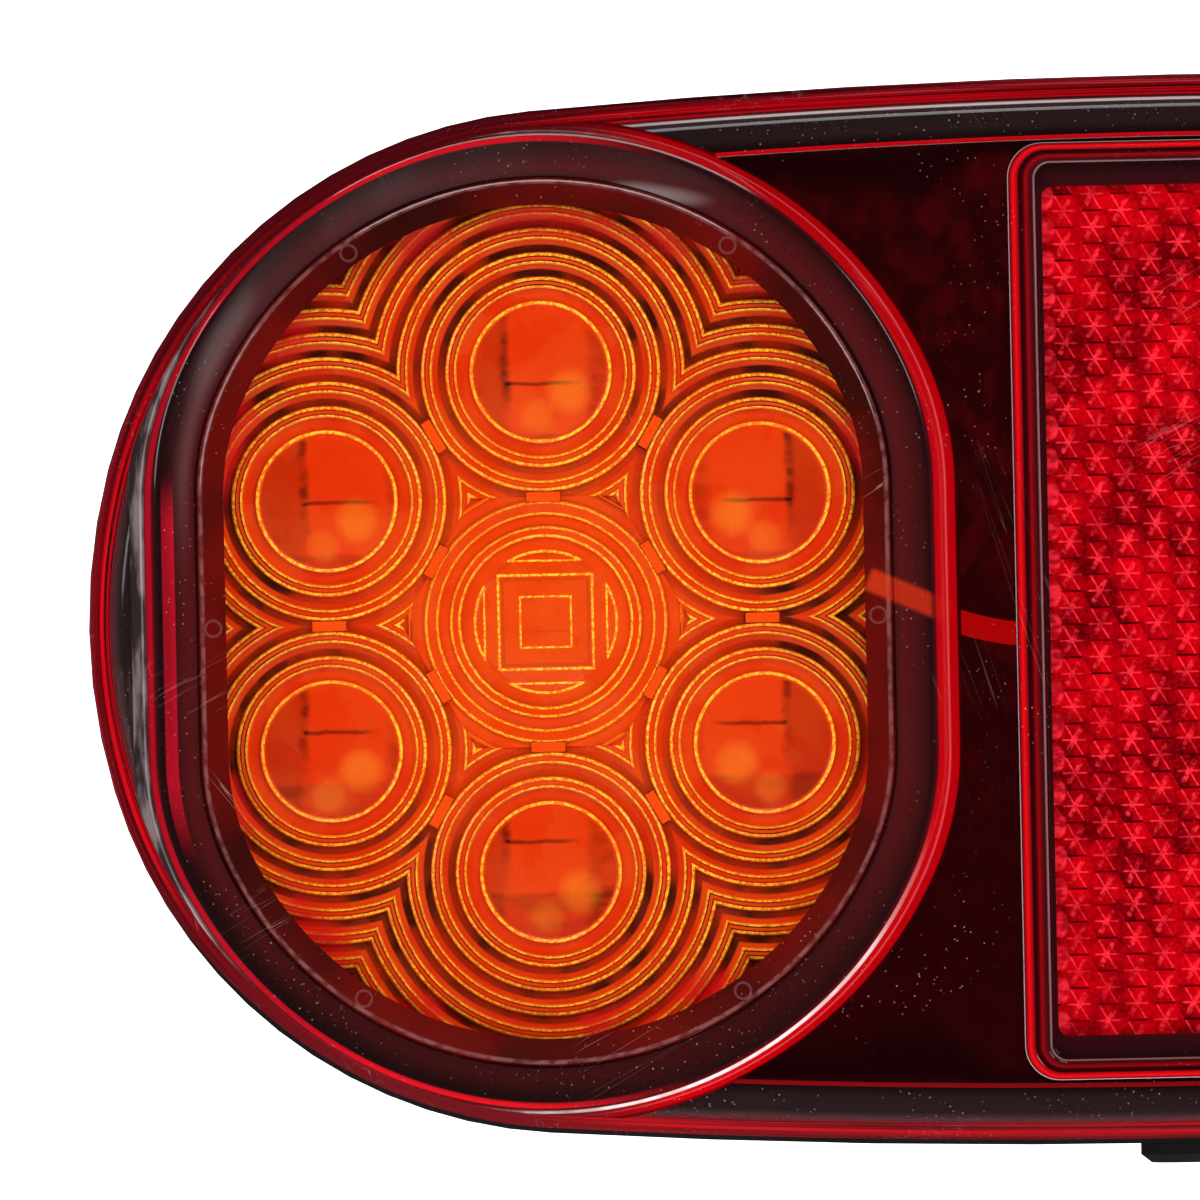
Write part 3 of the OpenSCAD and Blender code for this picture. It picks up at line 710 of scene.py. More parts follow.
def collar_marks(f, band, colour, side):
    """Painted light and shade: the wall is painted lit at the right and painted dark elsewhere, with a
    painted lit red line, painted highlights and grey reflections, and a painted highlight that curls round
    below.
    """
    x, z = f.place(side * MODULE_X)
    out = f.attribute("outset")
    right_off, left, mid = x.ramp(14.0, -4.0), x.ramp(-14.0, -25.0), band.ramp(0.56, 0.62)
    streak = f.noise(60.0, 3.0, (4, 1, 0.2)).ramp(0.4, 0.6)
    grainy = f.noise(420.0, 3.0, (1, 1, 0.35)).ramp(0.42, 0.62)
    sheen = f.noise(55.0, 2.0, seed=3.0).ramp(0.3, 0.65)
    # the outer band of the wall starts at this distance from the window
    at = 3.70 + abs(z).ramp(47.0, 6.0) * 0.92
    outer_reflection = left * abs(z).ramp(36.0, 22.0) * (out - at).ramp(0.3, 0.5)
    highlight_line = right_off * abs(out - at - 0.70).ramp(0.14, 0.04) * (0.25 + streak * 0.5)
    highlight_line = highlight_line * (0.4 + grainy * 0.6)
    lit_red_band = left * abs(out - 2.75).ramp(0.66, 0.5) * (0.6 + streak * 0.4)
    lit_red_band = lit_red_band * z.ramp(15.0, 9.0) * z.ramp(-23.0, -13.0)
    land_reflection = abs(out - 1.9).ramp(1.6, 0.2) * x.ramp(-8.0, -20.0) * z.ramp(2.0, 18.0)
    land_reflection = land_reflection * f.noise(70.0, 2.0, (1, 1, 0.3)).ramp(0.40, 0.6)
    curl = x.ramp(-6.0, 10.0) * x.ramp(36.5, 27.0) * z.ramp(-8.0, -24.0)
    spot = ((x - 10.5) ** 2 / 50 + (z - 41.4 + x * 0.12) ** 2 / 1.8) ** 0.5 + (f.noise(90.0, 2.0) - 0.5) * 0.6
    dust = f.specks(1500.0, 0.16) * f.noise(100.0, 2.0, seed=2.0).ramp(0.42, 0.6) * out.ramp(3.5, 3.0)
    colour = f.paint(
        colour,
        # painted shade on the wall and the land away from the right
        (right_off * out.ramp(1.2, 3.4) * 0.85, (26, 10, 12)),
        (right_off * (out - at).ramp(0.2, 0.6), (84, 10, 16)),
        # painted grey reflections on the outer band at the left, then a painted lit red line
        (outer_reflection, f.paint((46, 36, 38), (grainy * 0.7, (140, 124, 126)))),
        (right_off * abs(out - at).ramp(0.38, 0.16), f.paint((204, 14, 28), (left, (160, 10, 28)))),
        # a painted highlight line, a painted lit red band and a painted grey reflection on the land
        (highlight_line, (190, 160, 162)),
        (lit_red_band, (178, 16, 36)),
        (land_reflection * 0.40, (150, 128, 128)),
        # painted highlights: a curl round below and a spot at the top
        (curl * band.line(0.42, 0.045) * (0.6 + streak * 0.4), (250, 226, 224)),
        (spot.ramp(1.0, 0.2) * band.ramp(0.5, 0.56) * 0.6, (176, 156, 156)),
        (dust * 0.5, (170, 140, 140)),
        # painted shade low on the land and a painted grey sheen high on it
        (z.ramp(-14.0, -38.0) * mid * 0.5, (24, 12, 13)),
        (z.ramp(12.0, 38.0) * x.ramp(24.0, 6.0) * mid * (0.18 + sheen * 0.34), (66, 50, 51)))
    # the lead's painted glow beside the turn module
    if side < 0:
        colour = f.paint(colour, (painted_lead_glow(f, x, z) * (0.12 + band.ramp(0.5, 0.6) * 0.46), (214, 50, 20)))
    return colour


print("collar marks are ready")

# %% Collars round the modules
# outset at the sides, outset at the top, height and band
COLLAR = [
    (6.6, 5.8, 22.5, 0.0), (6.4, 5.6, 29.6, 0.08), (6.1, 5.3, 30.05, 0.16), (5.5, 5.0, 30.9, 0.26),
    (4.7, 4.6, 31.9, 0.36), (4.2, 4.25, 32.5, 0.44), (3.9, 4.0, 32.8, 0.50), (3.6, 3.7, 32.96, 0.56),
    (3.1, 3.2, 33.0, 0.64), (1.6, 1.6, 32.98, 0.8), (0.4, 0.4, 32.9, 0.93), (0.12, 0.12, 32.75, 1.0),
    (0.12, 0.12, 27.7, 1.0), (2.4, 2.4, 27.4, 0.0)]
# colours along the collar's section: the bright red wall is painted light and the pink line at 0.30 is a
# painted highlight
COLLAR_STOPS = [
    (0.0, 60, 4, 10), (0.10, 92, 3, 10), (0.14, 120, 3, 10), (0.18, 184, 2, 10), (0.28, 176, 4, 12),
    (0.30, 226, 70, 78), (0.32, 190, 6, 16), (0.44, 180, 5, 14), (0.48, 70, 8, 14), (0.56, 30, 9, 11),
    (0.66, 58, 15, 16), (0.88, 82, 20, 21), (0.94, 70, 22, 24), (1.0, 50, 10, 12)]
COLLAR_CLEAR = [(0.0, 0.2), (0.12, 0.1), (0.5, 0.0), (0.6, 0.25), (0.92, 0.25), (1.0, 0.1)]
DARK_FILM = (0.40, 0.03, 0.03)
COLLAR_EDGE = 1.55


def collar(side, word):
    finish = lens_finish(f"red_{word}_collar", COLLAR_STOPS, COLLAR_CLEAR, DARK_FILM,
                         lambda f, band, colour: collar_marks(f, band, colour, side))

    def outline(outset, top_outset):
        return kept_in(module_outline(outset, top_outset) + (side * MODULE_X, 0), COLLAR_EDGE)

    verts, bands = stacked(COLLAR, outline)
    outsets = [module_distance(x - side * MODULE_X, z) for row in COLLAR for x, z in outline(*row[:2])]
    faces = skin(len(verts) // len(COLLAR), len(COLLAR), closed=True)
    return piece(f"{word}_collar", verts, faces, finish, "red_lens", 55, band=bands, outset=outsets)


collars = [collar(side, word) for side, word in ENDS]
print("collars", [len(c.data.polygons) for c in collars])

# %% [markdown]
# ## Reflector frame
# The reflector is set in a frame of two raised beads with a groove between, and a lip that hides the cut
# cells at its edge. A section swept along a curve would pinch at the tight corners. A skin over rounded
# outlines doesn't, and closed on itself it is a ring.

# %% Frame round the reflector
# outset, height and band. Inside LIP the lip reaches further in at the top and bottom than at the sides.
FRAME = [
    (2.75, 29.4, 0.0), (2.7, 30.3, 0.1), (2.5, 30.9, 0.2), (2.2, 31.15, 0.28), (1.8, 31.1, 0.36),
    (1.55, 30.8, 0.44), (1.35, 30.8, 0.5), (1.1, 31.05, 0.58), (0.6, 31.0, 0.66), (0.3, 30.7, 0.72),
    (0.12, 30.2, 0.78), (0.0, 29.6, 0.84), (-0.2, 29.3, 0.9), (-0.50, 29.2, 0.96), (-0.52, 29.05, 1.0),
    (0.1, 28.9, 0.0)]
# colours along the frame's section: the white line at the outer edge and the grey line inside are painted
# highlights, and the bright red of the first bead is painted light
FRAME_STOPS = [
    (0.0, 60, 6, 10), (0.04, 120, 90, 92), (0.07, 226, 206, 206), (0.11, 214, 190, 190), (0.14, 60, 4, 10),
    (0.20, 150, 6, 14), (0.27, 212, 12, 20), (0.33, 160, 6, 12), (0.40, 40, 2, 6), (0.5, 46, 2, 6),
    (0.58, 128, 5, 11), (0.65, 70, 5, 10), (0.70, 44, 8, 12), (0.75, 156, 126, 128), (0.79, 60, 14, 18),
    (0.9, 36, 8, 12), (1.0, 50, 8, 12)]
LIP = -0.3
frame_red = lens_finish("red_frame", FRAME_STOPS, [(0.0, 0.0), (1.0, 0.0)], DARK_FILM)


def frame_outline(out):
    rise = out * (0.75 if out > LIP else 4.1)
    return rounded_outline(REFL_X + out, REFL_Z + rise, max(0.5, 1.4 + out * 0.7))


def reflector_frame():
    verts, bands = stacked(FRAME, frame_outline)
    faces = skin(len(verts) // len(FRAME), len(FRAME), closed=True)
    return piece("reflector_frame", verts, faces, frame_red, "red_lens", 45, band=bands)


reflector_rim = reflector_frame()
print("reflector frame", len(reflector_rim.data.polygons), "faces")

# %% [markdown]
# ## Ringed optics
# Each module's plate carries seven collimators: a smooth disc, then rings of flat lands with a steep side.
# Where two optics meet, their rings mitre on the line half way between them. Cut by Booleans the mitres
# would be ragged. So the plate is seven fans of spokes, and a spoke stops at that half-way line or at the
# window's edge.

# %% Steps and spokes of an optic
PITCH, RING_PITCH, FIRST_RING = 23.65, 2.31, 7.95
OPTICS = [(0.0, 0.0)]
OPTICS += [(PITCH * math.sin(math.radians(60 * i)), PITCH * math.cos(math.radians(60 * i))) for i in range(6)]
SPOKES = 240
# radius and height over the plate, of the middle optic and of the discs round it
MIDDLE_STEPS = [(0, 0.55), (3.5, 0.55), (5.6, 0.5), (6.4, 0.35), (6.7, 0.1), (7.9, 0.1), (8.15, 0.7),
                (8.9, 0.75), (9.1, 0.3), (10.1, 0.2), (10.3, 0.75), (11.3, 0.8), (11.5, 0.3), (13.7, 0.3)]
DISC_STEPS = [(0, 0.85), (2.2, 0.82), (4.2, 0.72), (5.6, 0.58), (6.25, 0.5), (6.5, 0.75), (6.75, 0.7),
              (6.9, 0.15), (7.8, 0.05)]
RING_STEPS = [(0, 0.1), (0.12, 0.8), (0.82, 0.85), (0.97, 0.75), (1.3, 0.12), (2.1, 0.02)]
OUTER_STEPS = DISC_STEPS + [(FIRST_RING + RING_PITCH * k + r, h) for k in range(9) for r, h in RING_STEPS]


def spoke_limits(index, window):
    """The way each spoke of an optic runs, and how far it gets before a neighbour or the window's edge."""
    cx, cz = OPTICS[index]
    a = np.radians(np.arange(SPOKES) * 360.0 / SPOKES)
    way = np.stack([np.cos(a), np.sin(a)], 1)
    limit = np.full(SPOKES, 1e9)
    for j, (ox, oz) in enumerate(OPTICS):
        if j != index:
            d = np.array([ox - cx, oz - cz])
            along = way @ d / np.linalg.norm(d)
            half_way = np.linalg.norm(d) / 2 / np.maximum(along, 1e-6)
            limit = np.where(along > 1e-6, np.minimum(limit, half_way), limit)
    e = np.roll(window, -1, axis=0) - window
    s = window - (cx, cz)
    for k, (wx, wz) in enumerate(way):
        cross = wx * e[:, 1] - wz * e[:, 0]
        cross = np.where(np.abs(cross) < 1e-9, 1e-9, cross)
        t = (s[:, 0] * e[:, 1] - s[:, 1] * e[:, 0]) / cross
        u = (s[:, 0] * wz - s[:, 1] * wx) / cross
        hits = t[(t > 0) & (u >= -1e-9) & (u <= 1 + 1e-9)]
        if len(hits):
            limit[k] = min(limit[k], hits.min())
    return way, limit


print("an outer optic has", len(OUTER_STEPS), "steps")

# %% Optic plates
PLATE_H, PLATE_BACK_H, PLATE_EDGE = 28.8, 27.6, -2.25
# where the seams of the LED behind each disc seem to lie: across, up, and which side is the clear one
SEAMS = [(0, 0, 1), (-3.4, -1.1, 1), (2.9, -0.7, -1), (2.1, 1.9, -1), (-4.2, 2.9, 1), (-2.6, 1.8, 1),
         (-2.2, -0.2, 1)]


def optic_fan(side, index, window, verts, optic, seam):
    """Adds one optic's points, and what the finish reads on them, and gives its faces."""
    cx, cz = OPTICS[index]
    way, limit = spoke_limits(index, window)
    radii, heights = np.array(OUTER_STEPS if index else MIDDLE_STEPS).T

    def add_point(x, z, height):
        verts.append(((side * MODULE_X - side * (cx + x)) * MM, -(PLATE_H + height) * MM, (cz + z) * MM))
        optic.append((x, z, 0.0 if index else 1.0))
        seam.append(SEAMS[index])

    rows = []
    for r in radii[1:]:
        here = np.minimum(r, limit)
        rows.append([len(verts) + k for k in range(SPOKES)])
        for (wx, wz), reach, height in zip(way, here, np.interp(here, radii, heights)):
            add_point(wx * reach, wz * reach, height)
        if np.all(limit <= r):
            break
    add_point(0, 0, heights[0])
    faces = [(len(verts) - 1, rows[0][k], rows[0][(k + 1) % SPOKES]) for k in range(SPOKES)]
    for inner, outer, r in zip(rows, rows[1:], radii[1:]):
        for k in range(SPOKES):
            n = (k + 1) % SPOKES
            if limit[k] > r + 1e-6 or limit[n] > r + 1e-6:
                faces.append((inner[k], outer[k], outer[n], inner[n]))
    return faces


def optic_plate(side, name, finish, node):
    verts, faces, optic, seam = [], [], [], []
    for index in range(len(OPTICS)):
        faces += optic_fan(side, index, module_outline(PLATE_EDGE), verts, optic, seam)
    mesh = bpy.data.meshes.new(name)
    mesh.from_pydata(verts, [], faces)
    corner = np.empty(len(mesh.loops), np.int32)
    mesh.loops.foreach_get("vertex_index", corner)
    keep(mesh, "optic", np.array(optic, np.float32)[corner], "CORNER")
    keep(mesh, "seam", np.array(seam, np.float32)[corner], "CORNER")
    work = bmesh.new()
    work.from_mesh(mesh)
    bmesh.ops.remove_doubles(work, verts=work.verts, dist=0.00001)
    rim = [e for e in work.edges if e.is_boundary]
    wall = bmesh.ops.extrude_edge_only(work, edges=rim)["geom"]
    for v in (g for g in wall if isinstance(g, bmesh.types.BMVert)):
        v.co.y = -PLATE_BACK_H * MM
    bmesh.ops.contextual_create(work, geom=[e for e in work.edges if e.is_boundary])
    bmesh.ops.recalc_face_normals(work, faces=work.faces)
    work.to_mesh(mesh)
    work.free()
    mesh.materials.append(finish)
    return fit(name, mesh, 28, [node])


print("plates are", PLATE_H - PLATE_BACK_H, "mm thick")

# %% [markdown]
# ## Finish of the optics
# The plate's colour is not even, and most of it is painted light: painted highlights gather on the edges of
# each land as bright yellow grains, painted shade turns the steep sides brown towards the outside of the
# module, the middle of the module is painted brighter, and each disc shows the soft seams of the LED behind
# it and two soft painted light spots. The plate also has a faint painted glow in its own colour. A picture
# could be painted for it, but it would have to be kept with the part. Instead the `optic` attribute gives a
# point's place from its own optic's middle, and the rings are worked out from it.

# %% Finish of the optics
def ring_masks(f, x, z, r):
    """Painted highlights on the edges and painted shade on the slopes of the six outer optics, from a point's
    place in its own ring.
    """
    phase = (r - FIRST_RING) % RING_PITCH
    rings = r.ramp(7.4, 7.7)
    lands = (phase.line(0.06, 0.22) + phase.line(0.90, 0.19) * 0.85 + r.line(6.55, 0.17) * 0.8).least(1.0)
    slope = phase.line(1.42, 0.52) * rings * (0.62 + f.noise(160.0, 2.0, seed=4.0).ramp(0.35, 0.6) * 0.55)
    pinch = (phase.line(0.28, 0.11) + phase.line(0.70, 0.09)) * rings * 0.8
    return lands * rings.most(r.line(6.55, 0.3)), slope + pinch


def square_masks(x, z, r):
    """Painted highlights on the edges and painted shade on the slopes of the middle optic: rings round a
    stepped square.
    """
    square = abs(x).most(abs(z))
    cut = square.ramp(5.85, 5.75)
    lines = r.line(8.15, 0.16) + r.line(8.95, 0.14) + r.line(10.25, 0.14) + r.line(11.35, 0.16)
    lines = lines + r.line(6.7, 0.16) * (1 - cut)
    steps = square.line(5.8, 0.12) * r.ramp(6.8, 6.6) + square.line(4.45, 0.15) + square.line(2.4, 0.12) * 0.8
    wall = (square.line(4.05, 0.22) + r.line(9.2, 0.12) + r.line(11.65, 0.14)) * 0.6
    return (lines + steps).least(1.0), wall + abs(z + 0.9).ramp(0.14, 0.04) * square.ramp(2.3, 2.2) * 0.5


def led_masks(f, x, z):
    """The LED as it shows through a disc: dark seams, a dim side and two soft painted light spots."""
    sx, sz, clear = f.parts("seam")
    wobble = (f.noise(420.0, 3.0) - 0.5) * 1.1
    u, v = (x - sx) * clear + wobble, z - sz + wobble * 0.5
    rough = 0.45 + f.noise(900.0, 3.0, (0.4, 1, 1)).ramp(0.35, 0.65) * 0.55
    seams = abs(u).ramp(0.75, 0.05) * v.ramp(-6.0, 1.5) * rough * 0.8
    seams = seams + abs(v).ramp(0.32, 0.03) * u.ramp(-0.3, 0.3) * u.ramp(7.5, 5.0) * 0.7
    dim = u.ramp(0.2, -0.8) * 0.28 + (v + 5.2).ramp(0.6, 0.0) * rough * 0.35 + u.ramp(7.2, 8.6) * rough * 0.4
    spots = ((x * clear - 2.7) ** 2 + (z + 1.9) ** 2).ramp(6.5, 0.0) * 0.14
    return seams, dim, spots + ((x * clear + 0.4) ** 2 + (z + 4.2) ** 2).ramp(4.0, 0.0) * 0.10


def optic_finish(name, side, body, glow, edge, dark, border):
    f = Finish(name)
    x, z, central = f.parts("optic")
    r = (x * x + z * z) ** 0.5
    across, up = f.place(side * MODULE_X)
    out = (across * across * 1.35 + up * up) ** 0.5
    grain, patch = f.noise(3200.0, 2.0).ramp(0.42, 0.58), f.noise(220.0, 2.0).ramp(0.35, 0.65)
    ring_highlight, ring_shade = ring_masks(f, x, z, r)
    square_highlight, square_shade = square_masks(x, z, r)
    # painted highlights on the edges of the lands, in grains
    bright = ring_highlight * (1 - central) + square_highlight * central
    bright = bright * (0.30 + grain * (0.50 + f.noise(75.0, 2.0, seed=9.0).ramp(0.36, 0.62) * 0.55))
    # painted shade on the slopes, deeper towards the outside of the module
    slope_shade = (ring_shade * (1 - central) + square_shade * central) * (0.36 + out.ramp(17.0, 33.0) * 0.95)
    disc = r.ramp(6.3, 6.1) * (1 - central)
    seams, dim, spots = led_masks(f, x, z)
    colour = f.paint(
        body,
        (patch * 0.45, glow),
        # painted glow: the middle of the module is painted brighter
        (out.ramp(26.0, 6.0) * 0.35, glow),  # the middle of the module glows more
        # painted shade on the upper part of each disc
        (disc * (z.ramp(-6.5, 5.0) * 0.5), body),
        (slope_shade.least(1.0) * (0.6 + patch * 0.4), dark),
        ((disc * dim).least(1.0), dark),
        ((disc * seams).least(1.0), dark),
        # painted light spots and painted highlights on the land edges
        ((disc * spots).least(1.0), edge),
        (bright.least(1.0), edge),
        (f.noise(130.0, 2.0, seed=2.0).ramp(0.45, 0.6) * out.ramp(35.5, 39.0) * 0.8, border))
    grainy = f.bump(f.noise(1500.0, 2.0), 0.00006, 0.35)
    # a faint painted glow in the plate's own colour
    return f.done(f.plastic(colour, 0.22 + patch * 0.1, IOR=1.49, Normal=grainy, Emission_Color=colour,
                            Emission_Strength=0.15))


# each finish takes body, glow, the painted highlight colour, the painted shade colour and border
amber_optic = optic_finish("amber_optic", -1, (190, 45, 4), (204, 78, 8), (255, 196, 58), (56, 10, 3),
                           (196, 14, 24))
red_optic = optic_finish("red_optic", 1, (160, 5, 12), (186, 9, 17), (240, 84, 80), (48, 3, 7), (205, 26, 36))
turn_rings = optic_plate(-1, "turn_rings", amber_optic, "turn_optic")
stop_rings = optic_plate(1, "stop_rings", red_optic, "stop_optic")
triangles = [sum(len(p.vertices) - 2 for p in plate.data.polygons) for plate in (turn_rings, stop_rings)]
print("optic plates", triangles, "triangles")

# %% [markdown]
# ## Bridges and pockets between the optics
# Small bridges tie neighbouring optics together, and where three meet there is a three-cornered pocket with
# a raised edge. Both could be copied in a loop, but they repeat round the plate, which is what Geometry
# Nodes are for: a tree puts one model at each point of a mesh, turned as the point says.

# %% Trees that repeat a model
class Repeat(Tree):
    """A Geometry Nodes tree that places a model at the points of a mesh and makes the copies real."""

    def __init__(self, name):
        super().__init__(bpy.data.node_groups.new(name, "GeometryNodeTree"))
        self.tree.is_modifier = True
        self.tree.interface.new_socket("Geometry", in_out="OUTPUT", socket_type="NodeSocketGeometry")
        self.tree.interface.new_socket("Points", in_out="INPUT", socket_type="NodeSocketGeometry")
        self.inlet = self.tree.nodes.new("NodeGroupInput")
        self.sockets = {}

    def input(self, name, kind, value=None):
        """A named input. Its identifier is kept, because a modifier is set by that."""
        socket = self.tree.interface.new_socket(name, in_out="INPUT", socket_type=kind)
        if value is not None:
            socket.default_value = value
        self.sockets[name] = socket.identifier
        return next(o for o in self.inlet.outputs if o.identifier == socket.identifier)

    def named(self, name, kind):
        """A value that the mesh keeps on its points."""
        return self.add("GeometryNodeInputNamedAttribute", {"data_type": kind}, {"Name": name}).outputs[0]

    def finish(self, geometry_socket, finish):
        real = self.add("GeometryNodeRealizeInstances", {}, {"Geometry": geometry_socket})
        made = self.add("GeometryNodeSetMaterial", {}, {"Geometry": real.outputs[0], "Material": finish})
        out = self.tree.nodes.new("NodeGroupOutput")
        self.tree.links.new(made.outputs[0], out.inputs[0])


def grow(tree, name, points, values, replaces=()):
    """Runs a tree on a mesh of points and keeps the result as a plain mesh piece."""
    host = bpy.data.objects.new(name + ".points", points)
    bpy.context.scene.collection.objects.link(host)
    modifier = host.modifiers.new("repeat", "NODES")
    modifier.node_group = tree.tree
    for key, value in values.items():
        modifier[tree.sockets[key]] = value
    bpy.context.view_layer.update()
    result = bpy.data.meshes.new_from_object(host.evaluated_get(bpy.context.evaluated_depsgraph_get()))
    result.name = name
    host.modifiers.remove(modifier)
    bpy.data.objects.remove(host)
    return fit(name, result, replaces=replaces)


def model(name, verts, faces, **vectors):
    """A hidden piece, in millimetres, that a tree copies. It isn't linked to the scene."""
    mesh = bpy.data.meshes.new(name)
    mesh.from_pydata([tuple(c * MM for c in v) for v in verts], [], faces)
    for key, values in vectors.items():
        keep(mesh, key, values)
    return bpy.data.objects.new(name, mesh)


def place_tree(name, finish):
    """Copies of the input object on the points, turned about the lamp's Y axis by the `turn` attribute."""
    t = Repeat(name)
    piece_in = t.input("Piece", "NodeSocketObject")
    scale_in = t.input("Scale", "NodeSocketFloat", 1.0)
    info = t.add("GeometryNodeObjectInfo", {}, {"Object": piece_in})
    angles = t.add("ShaderNodeCombineXYZ", {}, {"Y": t.named("turn", "FLOAT")})
    spin = t.add("FunctionNodeEulerToRotation", {}, {0: angles.outputs[0]})
    size = t.add("ShaderNodeCombineXYZ", {}, {"X": scale_in, "Y": scale_in, "Z": scale_in})
    put = t.add("GeometryNodeInstanceOnPoints", {}, {
        "Points": t.inlet.outputs["Points"], "Instance": info.outputs["Geometry"],
        "Rotation": spin.outputs[0], "Scale": size.outputs[0]})
    t.finish(put.outputs[0], finish)
    return t


print("repeat trees ready")


# %% Shapes and places of bridges and pockets
def bevelled_block(half_x, half_z, height, bevel):
    """A low block with sloping sides, standing out towards -Y."""
    signs = ((-1, -1), (1, -1), (1, 1), (-1, 1))
    low = [(sx * half_x, 0, sz * half_z) for sx, sz in signs]
    high = [(sx * (half_x - bevel), -height, sz * (half_z - bevel)) for sx, sz in signs]
    return low + high, [(3, 2, 1, 0), (4, 5, 6, 7)] + strip(0, 4, 4)


def pocket_frame(radius, width, height):
    """A three-cornered raised edge round a pocket."""
    rings = [(radius, 0), (radius - 0.2, height), (radius - width + 0.1, height), (radius - width, 0.0)]
    turns = [math.radians(120 * k) for k in range(3)]
    verts = [(r * math.cos(a), -h, r * math.sin(a)) for r, h in rings for a in turns]
    return verts, skin(3, 4, closed=True)


def bridge_places():
    """Middles of the gaps between neighbouring optics, with the way that each bridge turns."""
    found = []
    for i, (ax, az) in enumerate(OPTICS):
        for bx, bz in OPTICS[i + 1:]:
            if math.hypot(ax - bx, az - bz) < PITCH + 0.1:
                found.append(((ax + bx) / 2, (az + bz) / 2, -math.atan2(bz - az, bx - ax) + math.pi / 2))
    return found


def pocket_places():
    """Points where three optics meet, with the way that each pocket turns."""
    reach = PITCH / math.sqrt(3)
    turns = [math.radians(30 + 60 * k) for k in range(6)]
    return [(reach * math.sin(a), reach * math.cos(a), a - math.pi / 2) for a in turns]


BRIDGE, POCKET = bevelled_block(1.75, 0.62, 0.75, 0.16), pocket_frame(1.9, 0.65, 0.55)
print(len(bridge_places()), "bridges and", len(pocket_places()), "pockets on each plate")


# %% Bridges and pockets on both plates
def gap_finish(name, body, edge, dark):
    """body is the colour of the top; edge and dark are painted light and painted shade on the sloping sides,
    picked by which way a face turns.
    """
    f = Finish(name)
    grain = f.noise(2200.0, 2.0).ramp(0.4, 0.6)
    facing = f.parts(f.add("ShaderNodeNewGeometry").outputs["True Normal"])[1]
    side = (facing + 1.0).ramp(0.05, 0.5)
    shade_patches = f.noise(320.0, 1.0).ramp(0.52, 0.62)
    # the sloping sides are painted by which way they face, with patches of painted shade
    colour = f.paint(body, (side * (0.35 + grain * 0.5), edge), (side * shade_patches, dark))
    # a faint painted glow in the finish's own colour
    return f.done(f.plastic(colour, 0.25, IOR=1.49, Emission_Color=colour, Emission_Strength=0.15))


def fill_gaps(side, word, colour_word, bridge_colours, pocket_colours):
    made = []
    for kind, colours, places, shape, lift in (("bridges", bridge_colours, bridge_places(), BRIDGE, 0.1),
                                               ("pockets", pocket_colours, pocket_places(), POCKET, 0.2)):
        name = f"{word}_{kind}"
        points = bpy.data.meshes.new(name)
        middles = [(side * MODULE_X - side * x, z) for x, z, _ in places]
        points.from_pydata(to_metres(middles, PLATE_H + lift), [], [])
        keep(points, "turn", [-side * turn for _, _, turn in places])
        block = model(f"{name}.model", *shape)
        tree = place_tree(f"{name}_repeat", gap_finish(f"{colour_word}_{kind}", *colours))
        made.append(grow(tree, name, points, {"Piece": block, "Scale": 1.0}))
        bpy.data.objects.remove(block)
    return made


# colours: the top, then the painted light and the painted shade of the sloping sides
gaps = fill_gaps(-1, "turn", "amber", ((206, 70, 8), (110, 26, 6), (74, 14, 4)),
                 ((210, 74, 10), (255, 186, 40), (96, 20, 6)))
gaps += fill_gaps(1, "stop", "red", ((170, 7, 14), (84, 5, 8), (56, 4, 7)),
                  ((176, 7, 14), (255, 90, 84), (60, 4, 8)))
print("bridges and pockets", [len(g.data.polygons) for g in gaps])

# %% [markdown]
# ## Module caps
# A clear coloured cap covers each optic: a smooth front with a border that stays dark, because the shroud
# behind it is black, and six round ejector marks on the border. A refracting dome would bend the rings out
# of place and render slowly. So the cap is a closed skin whose middle is a straight film, and only the
# border and the scratches show on it.

# %% Finish of the caps
def cap_finish(name, side, border, dark, line, film):
    f = Finish(name)
    band = f.attribute("band")
    x, z = f.place(side * MODULE_X)
    marks = None
    for mark_x, mark_z in ((31.4, 0), (17.9, 35.2)):
        away = ((abs(x) - mark_x) ** 2 + (abs(z) - mark_z) ** 2) ** 0.5
        ring = away.line(0.75, 0.16)
        marks = ring if marks is None else marks.most(ring)
    worn = wear(f, 0.5, 0.45)
    broken = f.noise(900.0, 2.0).ramp(0.36, 0.6)
    # a painted highlight along the cap's bevel, broken by noise, and the ejector marks in the same pale
    # colour
    colour = f.paint(border, (f.noise(60.0, 3.0).ramp(0.35, 0.7), dark),
                     (band.line(0.24, 0.12) * (0.25 + broken * 0.75), line), (marks * 0.4, line))
    # the lead's painted glow beside the turn module
    if side < 0:
        colour = f.paint(colour, (painted_lead_glow(f, x, z) * 0.5, (214, 56, 20)))
    colour = f.paint(colour, (worn * 0.6, (210, 150, 140)))
    clear = band.ramp(0.97, 0.995) * (1 - worn * 0.40)
    return f.done(f.blend(clear, f.plastic(colour, 0.12 + worn * 0.3, IOR=1.49), f.film(*film)))


amber_cap = cap_finish("amber_cap", -1, (88, 9, 5), (42, 6, 4), (118, 68, 68), (1.0, 0.93, 0.86))
red_cap = cap_finish("red_cap", 1, (70, 8, 14), (44, 6, 10), (150, 60, 64), (1.0, 0.88, 0.88))
print("cap finish", len(amber_cap.node_tree.nodes), "nodes")

# %% Module caps
CAP_CROWN_H, CAP_INNER_H, CAP_EDGE = 33.75, 31.9, 5.0
# outset, height and band, over the front and then over the inside
CAP_FRONT = [(0.10, 26.2, 0.0), (0.06, 32.7, 0.05), (-0.2, 33.2, 0.15), (-0.5, 33.45, 0.3),
             (-0.8, 33.55, 0.4), (-2.55, 33.6, 0.9), (-2.62, 33.6, 1.0)]
CAP_INSIDE = [(-2.62, CAP_INNER_H, 1.0), (-1.9, CAP_INNER_H, 0.6), (-1.9, 26.2, 0.0)]


